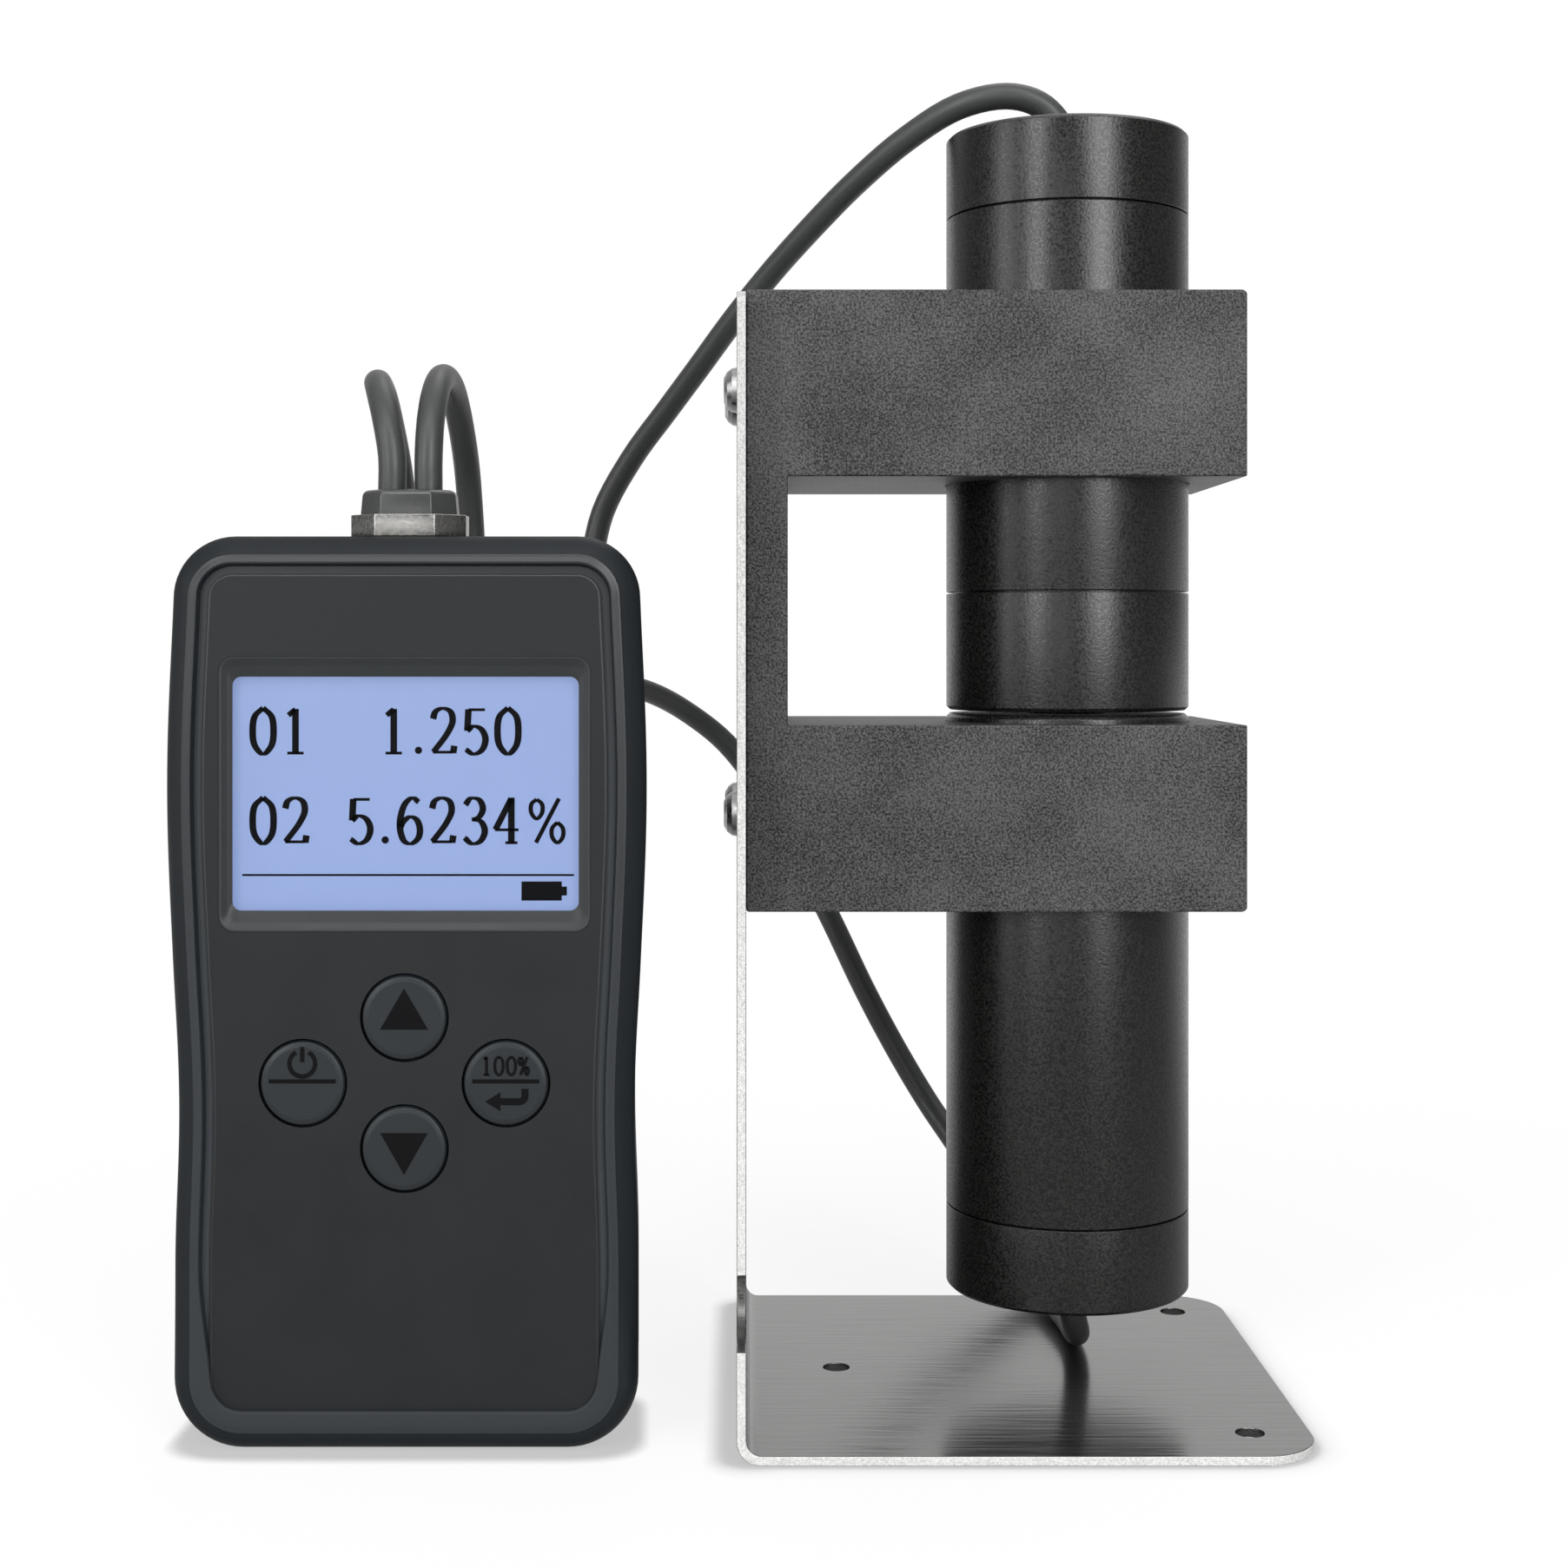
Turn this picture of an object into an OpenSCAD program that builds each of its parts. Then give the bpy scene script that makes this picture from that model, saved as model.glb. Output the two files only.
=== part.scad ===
// Transmission density meter: two probes face to face in a C bracket on a bent sheet stand,
// wired to a handheld meter that stands beside them. Millimetres, +Z up.
// The origin is on the table, under the axis that both probes share. +Y points away from the user.

/* [Stand] */
// Thickness of the bent metal sheet
sheet_t = 1.5; // [1:0.1:2.5]
// Depth of the foot plate, front to back
foot_depth = 88.4; // [84:0.1:110]
// Length of the foot plate, from the inner face of the upright to the free end
foot_length = 88.6; // [80:0.1:110]
// Radius of the two free corners of the foot plate
foot_corner_r = 10; // [3:0.5:16]
// Inner radius of the bend
bend_r = 2.2; // [1:0.1:4]
// Distance from the top of the bracket down to the top edge of the upright
upright_drop = 1.3; // [0:0.1:8]
// Depth of the upright above its shoulders
upright_depth = 64; // [50:0.5:70]
// Height of the shoulders where the upright narrows
shoulder_height = 17.3; // [10:0.1:30]
// Radius of the fillets between the shoulders and the upright
shoulder_fillet_r = 8.5; // [2:0.5:9]
// Radius of the two top corners of the upright
upright_corner_r = 2; // [0.5:0.5:6]
// Diameter of the three fixing holes in the foot plate
fix_hole_d = 4.5; // [3.4:0.1:6]
// Distance of the two outer fixing holes from the free end
fix_end_inset = 9.6; // [5:0.1:14]
// Distance between the two outer fixing holes
fix_spacing = 66.6; // [58:0.1:68]
// Distance of the inner fixing hole from the inner face of the upright
fix_inner = 15.4; // [8:0.1:18]

/* [Bracket] */
// Distance of the probe axis from the inner face of the upright
axis_offset = 54.8; // [50:0.1:55.5]
// Length of the bracket
bracket_length = 80.8; // [79.5:0.1:90]
// Depth of the bracket, front to back
bracket_depth = 46.7; // [45:0.1:54]
// Height of the underside of the bracket above the table
bracket_bottom = 82; // [76:0.5:90]
// Height of each of the two arms
arm_height = 30.1; // [22:0.1:32]
// Clear height between the arms
arm_gap = 40.1; // [34:0.1:46]
// Thickness of the spine between the arms
spine_t = 6.7; // [5:0.1:12]
// Chamfer on the long edges of the bracket
bracket_chamfer = 0.5; // [0.2:0.1:1.5]
// Running clearance on radius between a probe and its bore
bore_clearance = 0.05; // [0.02:0.01:0.1]
// Front to back distance between the two columns of bracket screws
screw_column_spacing = 24; // [18:0.5:30]

/* [Probes] */
// Outside diameter of both probes
probe_d = 41; // [38:0.1:42]
// Length of a probe without its cable
probe_length = 97.5; // [86:0.5:102]
// Length of the nose ring at the measuring end
nose_length = 19.7; // [16:0.1:26]
// Length of the cap at the cable end
cap_length = 13.8; // [11:0.1:18]
// How far the lower probe stands proud of its arm
face_proud = 1.3; // [0:0.1:3]
// Gap between the two measuring faces with the upper probe down
face_gap = 0.6; // [0.2:0.1:2]
// Wall of the tubular barrel
barrel_wall = 2.2; // [1.5:0.1:4]
// Radius of the light opening in a measuring face
aperture_r = 6.5; // [2:0.1:7]
// Chamfer at the seams and ends of a probe
seam_chamfer = 0.3; // [0.1:0.1:0.6]
// Depth of the cable well in the end of a cap
well_depth = 3.2; // [1:0.1:5]
// Radius of the cable well
well_r = 4.4; // [3.8:0.1:7]

/* [Meter case] */
// Width of the meter over its rubber edge
meter_width = 75; // [74:0.5:84]
// Height of the meter as it stands
meter_height = 142; // [140:0.5:160]
// Thickness of the meter, front to back
meter_depth = 26; // [26:0.5:34]
// Gap between the meter and the upright
meter_gap = 14; // [5:0.1:20]
// How far the front of the meter stands behind the front edge of the foot plate
meter_setback = 5.7; // [0:0.1:12]
// Radius of the two top corners
top_corner_r = 9.7; // [9:0.1:14]
// Radius of the two bottom corners
bottom_corner_r = 11; // [9.5:0.1:14]
// How much each side swells out beside the display
swell = 1.3; // [0:0.1:2]
// How much each side draws in at the grip
waist = 0.6; // [0:0.1:1]
// Height of the narrowest place of the grip
waist_height = 52; // [45:1:58]
// Thickness of the rubber edge round the case
rubber_t = 2.9; // [2.2:0.1:3.2]
// Wall of the two case halves
case_wall = 2; // [1.6:0.1:2.4]
// Depth of the front half of the case, from the front of the rubber edge
parting_depth = 13; // [12.8:0.1:13.4]
// Depth of the sunk floor that the face panel lies on
floor_depth = 1.6; // [1.4:0.1:1.8]
// Thickness of the face panel
panel_t = 0.7; // [0.4:0.1:0.9]
// Distance of the edge of the face panel from the outline of the meter
panel_inset = 6; // [5.6:0.1:6.4]

/* [Display and keys] */
// Width of the visible display
display_w = 53.9; // [48:0.1:54.5]
// Height of the visible display
display_h = 36.4; // [30:0.1:38]
// Distance from the top of the meter to the middle of the display
display_drop = 40.1; // [39:0.1:44]
// Side border of the display frame
frame_side = 1.95; // [1.6:0.05:2.4]
// Top and bottom border of the display frame
frame_end = 3.2; // [2:0.1:3.6]
// Diameter of a key
key_d = 13.2; // [10:0.1:13.6]
// Gap on radius between a key and its hole
key_clearance = 0.3; // [0.15:0.05:0.5]
// Travel of a key when pressed
key_travel = 0.6; // [0.3:0.1:0.9]
// Distance from the top of the meter to the middle of the four keys
key_drop = 84.9; // [84:0.1:90]
// Side distance of the left and right keys from the middle
key_side = 15.75; // [14:0.05:17]
// Distance of the upper and lower keys from the middle
key_rise = 10.15; // [8:0.05:10.5]

/* [Batteries and fastenings] */
// Diameter of a cell
cell_d = 10.4; // [9.8:0.1:10.5]
// Length of a cell over its button
cell_length = 44.5; // [43.5:0.1:45]
// Distance between the axes of neighbouring cells
cell_pitch = 11.2; // [10.8:0.1:11.4]
// Height of the lower end of the battery bay
bay_bottom = 13.8; // [13:0.1:16]
// Thickness of the battery door
door_t = 2.4; // [2:0.1:2.8]
// Gap round the battery door
door_gap = 0.3; // [0.2:0.05:0.5]
// Radius of the rounded lower edge of the battery door
door_knuckle_r = 1.4; // [1.3:0.05:1.6]
// Diameter of the bore in the cable socket
socket_d = 9.2; // [8:0.1:9.6]
// Depth of the cable socket's axis behind the front of the meter
socket_depth = 11; // [10.8:0.1:11.6]
// Side distance of the socket from the middle of the meter
socket_side = -0.5; // [-2:0.1:2]
// Outside diameter of the cables
cable_d = 4.5; // [3.5:0.1:5]
// Side distance of each cable from the middle of the plug
cable_side = 2.9; // [2.7:0.1:3.4]

/* [Hidden] */
$fn = 64;

// Colours
steel = [0.80, 0.80, 0.79];
screw_steel = [0.62, 0.62, 0.62];
black_cast = [0.24, 0.24, 0.24];
anodised = [0.15, 0.15, 0.15];
rubber_grey = [0.20, 0.23, 0.25];
panel_grey = [0.20, 0.21, 0.22];
frame_grey = [0.29, 0.30, 0.31];
key_grey = [0.24, 0.26, 0.28];
display_blue = [0.62, 0.69, 0.88];
board_green = [0.10, 0.32, 0.18];
cable_grey = [0.27, 0.28, 0.28];
clear_glass = [0.85, 0.90, 0.92];
contact_metal = [0.75, 0.72, 0.62];

slack = 0.1;
seat_gap = 0.05;

// Stand, seen from above: the upright is at the low X end
upright_in = -axis_offset;
upright_out = upright_in - sheet_t;
foot_end = upright_in + foot_length;
fix_outer_x = foot_end - fix_end_inset;
fix_inner_x = upright_in + fix_inner;

// Bracket
bracket_height = 2 * arm_height + arm_gap;
bracket_top = bracket_bottom + bracket_height;
upright_height = bracket_top - upright_drop;
bracket_end = upright_in + bracket_length;
lower_arm_top = bracket_bottom + arm_height;
upper_arm_bottom = bracket_top - arm_height;
lower_arm_mid = bracket_bottom + arm_height / 2;
upper_arm_mid = bracket_top - arm_height / 2;
bore_r = probe_d / 2 + bore_clearance;

// Button head screws, four millimetre thread
head_r = 3.8;
head_h = 2.2;
thread_r = 2;
bracket_screw_reach = 10;
hex_key = 2.5;
thread_clearance = 0.05;

// Probes: u runs from the measuring face to the cable end
probe_r = probe_d / 2;
lower_face = lower_arm_top + face_proud;
upper_face = lower_face + face_gap;
barrel_in_r = probe_r - barrel_wall;
spigot_r = barrel_in_r - slack;
spigot_length = 7;
spigot_wall = 2.7;
nose_bore_r = spigot_r - spigot_wall;
cap_start = probe_length - cap_length;
end_chamfer = 2 * seam_chamfer;
web_end = 6;
window_seat_r = aperture_r + 4.5;
window_seat = 1.6;
window_t = 2.5;
board_t = 1.6;
board_u = nose_length + spigot_length + slack;
board_ring_h = 3;
wire_block = [10, 5.5, 5.8];
capacitor_r = 2.5;
capacitor_h = 5.4;
capacitor_side = 7;
part_offset = 5;
sensor_size = [8, 8, 2.2];
lamp_base = [5, 5, 1.2];
lamp_r = 2;
cap_wall_u = probe_length - 6;
gland_face_u = probe_length - well_depth;
gland_r = 3.2;
gland_flange_r = 5.2;
gland_flange_t = 1.8;

// Meter: x from its middle, d from its front plane, z from the table
meter_x = upright_out - meter_gap - meter_width / 2;
meter_y = -foot_depth / 2 + meter_setback;
waist_span = 24;
swell_height = 103;
swell_span = 42.5;
side_draft = 0.8;
cavity_inset = rubber_t + case_wall;
inner_face = floor_depth + case_wall;
back_face = meter_depth - 0.6;
back_inner = back_face - case_wall;
panel_front = floor_depth - panel_t;
bead_width = 1.7;
crest_inset = 1.25;
crest_drop = 0.48;

display_z = meter_height - display_drop;
frame_w = display_w + 2 * frame_side;
frame_h = display_h + 2 * frame_end;
frame_corner_r = 2.5;
window_corner_r = 1.4;
window_depth = 2.4;
glass_t = 1.2;
flange_t = 1;
key_z = meter_height - key_drop;
key_flange_r = key_d / 2 + 1;
key_flange_d = inner_face + slack;
key_flange_t = 1;
key_back = key_flange_d + key_flange_t;
key_proud = 0.4;
switch_size = 6;
switch_top = key_back + key_travel + seat_gap;

pcb_front = 9.4;
pcb_back = pcb_front + board_t;
pcb_half_w = meter_width / 2 - cavity_inset - swell - waist - 0.6;
pcb_bottom = 15;
pcb_top = meter_height - 16;
post_x = pcb_half_w - 2;
post_r = 2.2;
post_heights = [pcb_bottom + 7, key_z + key_rise + 8.8];
board_screw_r = 1;
processor = [14, 1.4, 14];
memory_chip = [8, 1.2, 6];
wire_plug = [10, 3.2, 6];

cell_count = 4;
contact_t = 0.4;
contact_reach = 2;
contact_width = 8;
spring_r = [3, 2];
bay_half_w = (cell_count - 1) / 2 * cell_pitch + cell_d / 2 + 1.4;
bay_top = bay_bottom + cell_length + 2 * contact_reach;
door_inner = back_face - door_t;
cell_axis = door_inner - seat_gap - cell_d / 2;
bay_floor = cell_axis - cell_d / 2 - seat_gap;
bay_wall = 1.2;
door_half_w = bay_half_w + 1.1;
door_bottom = bay_bottom - 4.3;
door_top = bay_top + 3.7;
hinge_depth = back_face - door_knuckle_r;
hinge_z = door_bottom + door_knuckle_r;
lug_r = 0.9;
lug_length = 1;
case_screw_places = [
    [-26, meter_height - 11], [26, meter_height - 11],
    [-28.9, 9.5], [28.9, 9.5]
];
case_screw_r = 1.45;
case_head_r = 2.7;
boss_r = 3;
post_wall_r = 4;
screw_seat = back_face - 3;

socket_r = 6.1;
socket_flange_r = 7.2;
plug_step = [18.2, 13, 3.6];
plug_neck = [15.3, 10.8, 4];
plug_reach = 10;
plug_top = meter_height + plug_step[2] + plug_neck[2];

// Routes of the two cables, from the plug to the gland of their probe, points chosen by hand
upper_route = [
    [-105.4, -27.5, 149.6], [-105.4, -27.5, 155], [-105.3, -25.7, 161], [-105.1, -20.5, 166.5],
    [-104.9, -12.6, 169.3], [-104.5, -4, 168], [-104.1, 3.7, 163], [-103.7, 9.5, 156],
    [-103.4, 13, 147], [-103, 15, 137], [-102, 18.5, 127], [-100, 24.5, 118.5],
    [-97, 32.5, 114], [-93.5, 41.5, 115], [-90, 49.5, 121], [-87, 54.5, 130],
    [-85.2, 56.8, 140], [-82.8, 56.8, 150.8], [-77, 53.4, 161], [-69.9, 47.8, 169.9],
    [-63.8, 41.8, 177.3], [-57, 35, 185.6], [-49.8, 27.8, 193.5], [-43.2, 21.2, 199.9],
    [-35.7, 13.8, 206.5], [-26.9, 6.8, 213], [-18.2, 2.2, 217.6], [-10.2, 0.2, 218.9],
    [-4.8, 0, 217.5], [-1.3, 0, 214], [0, 0, 209.6], [0, 0, 208.3]
];
lower_route = [
    [-111.2, -27.5, 149.6], [-111.2, -27.5, 155], [-112.4, -25.7, 161], [-114.2, -20.5, 166],
    [-115.8, -12.6, 168.4], [-116.1, -4, 167], [-115.9, 3.7, 162], [-115.4, 9.5, 155],
    [-114.9, 13, 146], [-114.5, 15, 136], [-113.8, 18, 126], [-112.5, 23, 116.5],
    [-110.5, 30.5, 109.5], [-107.5, 39.5, 106.5], [-103.5, 48.5, 107.5], [-98.8, 57, 111],
    [-93, 65, 114.7], [-86.5, 73, 116.8], [-80, 81, 116.6], [-73.6, 87.8, 114.5],
    [-66.5, 93.6, 110.2], [-59, 96, 104], [-51, 95, 93.5], [-43.5, 91.5, 80],
    [-37, 87, 67.5], [-30.5, 83.4, 54], [-24.5, 80.6, 42.8], [-18.1, 76.8, 32.2],
    [-11.5, 69, 23], [-6.3, 59, 14.5], [-2.3, 48.5, 8], [0.5, 37.5, 4.6],
    [2, 28, 3.9], [2.9, 20, 3.9], [3.1, 13, 4.1], [2.6, 6.2, 5.8],
    [1.3, 1.6, 10], [0.2, 0, 15.2], [0, 0, 17.6], [0, 0, 19.1]
];
cable_sides = 8;

// Small helpers

function unit(v) = v / norm(v);
function heading(p, i) = unit(p[min(i + 1, len(p) - 1)] - p[max(i - 1, 0)]);
// The side direction of a ring, carried along from the ring before it so that the tube doesn't twist
function carried(p, i) =
    i == 0 ? unit(cross(heading(p, 0), [0, 1, 0]))
    : let (n = carried(p, i - 1), t = heading(p, i)) unit(n - t * (t * n));

// A round tube along the points p, square to the first and last stretch
module tube_along(p, d, sides) {
    rings = [for (i = [0 : len(p) - 1])
        let (n = carried(p, i), b = cross(heading(p, i), n))
        for (k = [0 : sides - 1])
            p[i] + d / 2 * (cos(360 * k / sides) * n + sin(360 * k / sides) * b)];
    walls = [for (i = [0 : len(p) - 2]) for (k = [0 : sides - 1])
        let (a = i * sides + k, c = i * sides + (k + 1) % sides)
        for (f = [[a, a + sides, c], [c, a + sides, c + sides]]) f];
    first_end = [for (k = [0 : sides - 1]) k];
    last_end = [for (k = [sides - 1 : -1 : 0]) (len(p) - 1) * sides + k];
    polyhedron(points = rings, faces = concat([first_end], walls, [last_end]));
}

// Half width of the meter at height z: straight above, drawn in over the grip
function half_width(z) =
    meter_width / 2 - swell + swell * hump(z, swell_height, swell_span)
        - waist * hump(z, waist_height, waist_span);

// A cosine hump, 1 high at middle and 0 from span away
function hump(z, middle, span) = abs(z - middle) < span ? (1 + cos(180 * (z - middle) / span)) / 2 : 0;

corner_steps = 8;
side_steps = 10;
function arc_points(cx, cz, r, from) =
    [for (k = [0 : corner_steps]) [cx + r * cos(from + 90 * k / corner_steps),
        cz + r * sin(from + 90 * k / corner_steps)]];
function side_heights() =
    [for (k = [1 : side_steps]) bottom_corner_r
        + (meter_height - top_corner_r - bottom_corner_r) * k / (side_steps + 1)];

// Outline of the meter drawn in by inset, seen from the front, with z as the second coordinate
function outline(inset) =
    let (
        low = half_width(bottom_corner_r) - bottom_corner_r,
        high = half_width(meter_height - top_corner_r) - top_corner_r,
        low_r = max(bottom_corner_r - inset, 0.5),
        high_r = max(top_corner_r - inset, 0.5),
        top = meter_height - top_corner_r,
        heights = side_heights()
    )
    concat(
        arc_points(low, bottom_corner_r, low_r, -90),
        [for (z = heights) [half_width(z) - inset, z]],
        arc_points(high, top, high_r, 0),
        arc_points(-high, top, high_r, 90),
        [for (k = [len(heights) - 1 : -1 : 0]) [inset - half_width(heights[k]), heights[k]]],
        arc_points(-low, bottom_corner_r, low_r, 180)
    );

// A flat plate of the outline, from depth d0 to depth d1
module slab(inset, d0, d1) {
    upright_plate(d0, d1) polygon(outline(inset));
}

// A 2D shape in x and z, made solid from depth d0 to depth d1
module upright_plate(d0, d1) {
    translate([0, d1, 0]) rotate([90, 0, 0]) linear_extrude(d1 - d0) children();
}

// A moulded form through several outlines: each section is [inset, depth], front to back
module loft(sections) {
    n = len(outline(0));
    points = [for (s = sections) let (narrow = 1 - (len(s) > 2 ? s[2] : 0) / (meter_width / 2))
        for (p = outline(s[0])) [p[0] * narrow, s[1], p[1]]];
    walls = [for (i = [0 : len(sections) - 2]) for (k = [0 : n - 1])
        let (a = i * n + k, c = i * n + (k + 1) % n)
        for (f = [[a, c, a + n], [c, c + n, a + n]]) f];
    front_end = [for (k = [n - 1 : -1 : 0]) k];
    back_end = [for (k = [0 : n - 1]) (len(sections) - 1) * n + k];
    polyhedron(points = points, faces = concat([front_end], walls, [back_end]));
}

module rounded_rect(w, h, r) {
    square([w - 2 * r, h], center = true);
    square([w, h - 2 * r], center = true);
    for (x = [-1, 1], y = [-1, 1]) translate([x * (w / 2 - r), y * (h / 2 - r)]) circle(r);
}

// A cylinder along the depth of the meter
module depth_pin(x, z, r, d0, d1) {
    translate([x, d0, z]) rotate([-90, 0, 0]) cylinder(r = r, h = d1 - d0);
}

module at_meter() {
    translate([meter_x, meter_y, 0]) children();
}

module at_upper() {
    translate([0, 0, upper_face]) children();
}

module at_lower() {
    translate([0, 0, lower_face]) mirror([0, 0, 1]) children();
}

module revolved(profile) {
    rotate_extrude() polygon(profile);
}

// Stand

module bent_profile() {
    bend_out = bend_r + sheet_t;
    bend_x = upright_out + bend_out;
    translate([bend_x, 0]) square([foot_end - bend_x, sheet_t]);
    translate([upright_out, bend_out]) square([sheet_t, upright_height - bend_out]);
    intersection() {
        translate([bend_x, bend_out]) difference() {
            circle(bend_out);
            circle(bend_r);
        }
        translate([upright_out, 0]) square(bend_out);
    }
}

// The part of the side view that is cut away in front of and behind the upright
module side_cut() {
    high = upright_height;
    arc_y = upright_depth / 2 + shoulder_fillet_r;
    arc_z = shoulder_height + shoulder_fillet_r;
    translate([arc_y, arc_z]) circle(shoulder_fillet_r);
    translate([arc_y, shoulder_height]) square([foot_depth, high]);
    translate([upright_depth / 2, arc_z]) square([foot_depth, high]);
    translate([upright_depth / 2 - upright_corner_r, high - upright_corner_r]) difference() {
        square(2 * upright_corner_r);
        circle(upright_corner_r);
    }
}

module foot_corner_cut() {
    difference() {
        square(foot_corner_r + 1);
        circle(foot_corner_r);
    }
}

module screw_places() {
    for (y = [-1, 1], z = [lower_arm_mid, upper_arm_mid])
        translate([upright_out, y * screw_column_spacing / 2, z]) rotate([0, 90, 0]) children();
}

module stand_plate() {
    color(steel) difference() {
        translate([0, foot_depth / 2, 0]) rotate([90, 0, 0]) linear_extrude(foot_depth) bent_profile();
        for (side = [0, 1]) mirror([0, side, 0])
            translate([upright_out - 1, 0, 0]) rotate([90, 0, 90])
                linear_extrude(sheet_t + bend_r + 1) side_cut();
        for (side = [0, 1]) mirror([0, side, 0])
            translate([foot_end - foot_corner_r, foot_depth / 2 - foot_corner_r, -1])
                linear_extrude(sheet_t + 2) foot_corner_cut();
        for (place = [[fix_outer_x, fix_spacing / 2], [fix_outer_x, -fix_spacing / 2], [fix_inner_x, 0]])
            translate([place[0], place[1], -1]) cylinder(d = fix_hole_d, h = sheet_t + 2);
        screw_places() translate([0, 0, -1]) cylinder(r = thread_r + slack, h = sheet_t + 2);
    }
}

// Bracket

module bracket_profile() {
    c = bracket_chamfer;
    difference() {
        translate([upright_in, bracket_bottom]) polygon([
            [0, 0], [bracket_length - c, 0], [bracket_length, c], [bracket_length, bracket_height - c],
            [bracket_length - c, bracket_height], [0, bracket_height]
        ]);
        translate([upright_in + spine_t, lower_arm_top]) square([bracket_length, arm_gap]);
    }
}

module probe_bracket() {
    color(black_cast) difference() {
        translate([0, bracket_depth / 2, 0]) rotate([90, 0, 0])
            linear_extrude(bracket_depth) bracket_profile();
        translate([0, 0, bracket_bottom - 1]) cylinder(r = bore_r, h = bracket_height + 2, $fn = 128);
        screw_places() cylinder(r = thread_r + thread_clearance, h = sheet_t + bracket_screw_reach);
        for (z = [lower_arm_mid, upper_arm_mid]) translate([0, 0, z]) rotate([0, 90, 0])
            cylinder(r = thread_r + thread_clearance, h = bracket_end + 1);
    }
}

module button_head_screw(reach) {
    difference() {
        rotate_extrude() polygon([
            [0, -head_h], [0.55 * head_r, -head_h], [0.8 * head_r, -0.75 * head_h],
            [0.95 * head_r, -0.4 * head_h], [head_r, 0], [thread_r, 0], [thread_r, reach], [0, reach]
        ]);
        translate([0, 0, -head_h - 1]) cylinder(d = hex_key, h = 2.2, $fn = 6);
    }
}

module bracket_screws() {
    color(screw_steel) screw_places() button_head_screw(sheet_t + bracket_screw_reach - 0.5);
}

// Socket set screws in the free ends of the arms, backed off just enough to let a probe slide
module clamp_screws() {
    screw_start = bore_r + seat_gap;
    color(screw_steel) for (z = [lower_arm_mid, upper_arm_mid])
        translate([screw_start, 0, z]) rotate([0, 90, 0]) difference() {
            cylinder(r = thread_r, h = bracket_end - 0.5 - screw_start);
            translate([0, 0, 1.5]) cylinder(d = 2, h = bracket_length, $fn = 6);
        }
}

// Probes

module barrel() {
    color(anodised) revolved([
        [barrel_in_r, nose_length], [probe_r - seam_chamfer, nose_length],
        [probe_r, nose_length + seam_chamfer], [probe_r, cap_start - seam_chamfer],
        [probe_r - seam_chamfer, cap_start], [barrel_in_r, cap_start]
    ]);
}

module nose() {
    color(anodised) revolved([
        [aperture_r, 0], [probe_r - end_chamfer, 0], [probe_r, end_chamfer],
        [probe_r, nose_length - seam_chamfer], [probe_r - seam_chamfer, nose_length],
        [spigot_r, nose_length], [spigot_r, nose_length + spigot_length],
        [nose_bore_r, nose_length + spigot_length], [nose_bore_r, web_end],
        [window_seat_r, web_end], [window_seat_r, window_seat], [aperture_r, window_seat]
    ]);
}

module window_disc(tint) {
    color(tint) translate([0, 0, window_seat]) cylinder(r = window_seat_r - slack, h = window_t);
}

// A threaded ring that holds the window in its seat
module window_ring() {
    ring_in = window_seat_r - 2.6;
    color(anodised) translate([0, 0, window_seat + window_t]) difference() {
        cylinder(r = window_seat_r - seat_gap, h = web_end - window_seat - window_t);
        translate([0, 0, -1]) cylinder(r = ring_in, h = web_end);
        for (a = [0, 180]) rotate(a) translate([ring_in - 1, -0.6, 1]) cube([2.6, 1.2, web_end]);
    }
}

// A tube with thin inner rims that stop stray light on its way
module baffle() {
    out_r = nose_bore_r - slack;
    in_r = out_r - 2;
    rim_r = aperture_r + 1;
    start = web_end + slack;
    end = nose_length + spigot_length - 2.4;
    pitch = (end - start) / 3;
    color(anodised) revolved(concat(
        [[out_r, end], [out_r, start]],
        [for (k = [0 : 2]) let (z = start + k * pitch)
            for (q = [
                [rim_r, z], [rim_r, z + 0.4], [in_r, z + 1.2], [in_r, z + pitch - (k < 2 ? 0.8 : 0)]
            ]) q]
    ));
}

module board_disc() {
    color(board_green) translate([0, 0, board_u]) cylinder(r = barrel_in_r - 2 * slack, h = board_t);
}

// Wire connector and two capacitors on the cable side of a round board
module board_back_parts() {
    back = board_u + board_t;
    translate([-wire_block[0] / 2, part_offset, back]) cube(wire_block);
    for (x = [-capacitor_side, capacitor_side])
        translate([x, -part_offset, back]) cylinder(r = capacitor_r, h = capacitor_h);
}

module receiver() {
    board_disc();
    color([0.15, 0.15, 0.16])
        translate([-sensor_size[0] / 2, -sensor_size[1] / 2, board_u - sensor_size[2]]) cube(sensor_size);
    color([0.15, 0.15, 0.16]) board_back_parts();
}

module emitter() {
    board_disc();
    color([0.9, 0.9, 0.85]) translate([0, 0, board_u - lamp_base[2]]) {
        translate([-lamp_base[0] / 2, -lamp_base[1] / 2, 0]) cube(lamp_base);
        intersection() {
            sphere(lamp_r);
            translate([0, 0, -lamp_r]) cube(2 * lamp_r, center = true);
        }
    }
    color([0.15, 0.15, 0.16]) board_back_parts();
}

module board_ring() {
    start = board_u + board_t + seat_gap;
    color(anodised) translate([0, 0, start]) difference() {
        cylinder(r = barrel_in_r - seat_gap, h = board_ring_h);
        translate([0, 0, -1]) cylinder(r = nose_bore_r, h = board_ring_h + 2);
    }
}

module cap() {
    color(anodised) revolved([
        [nose_bore_r, cap_start - spigot_length], [spigot_r, cap_start - spigot_length],
        [spigot_r, cap_start], [probe_r - seam_chamfer, cap_start], [probe_r, cap_start + seam_chamfer],
        [probe_r, probe_length - end_chamfer], [probe_r - end_chamfer, probe_length],
        [well_r, probe_length], [well_r, gland_face_u], [gland_r + seat_gap, gland_face_u],
        [gland_r + seat_gap, cap_wall_u], [nose_bore_r, cap_wall_u]
    ]);
}

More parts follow.
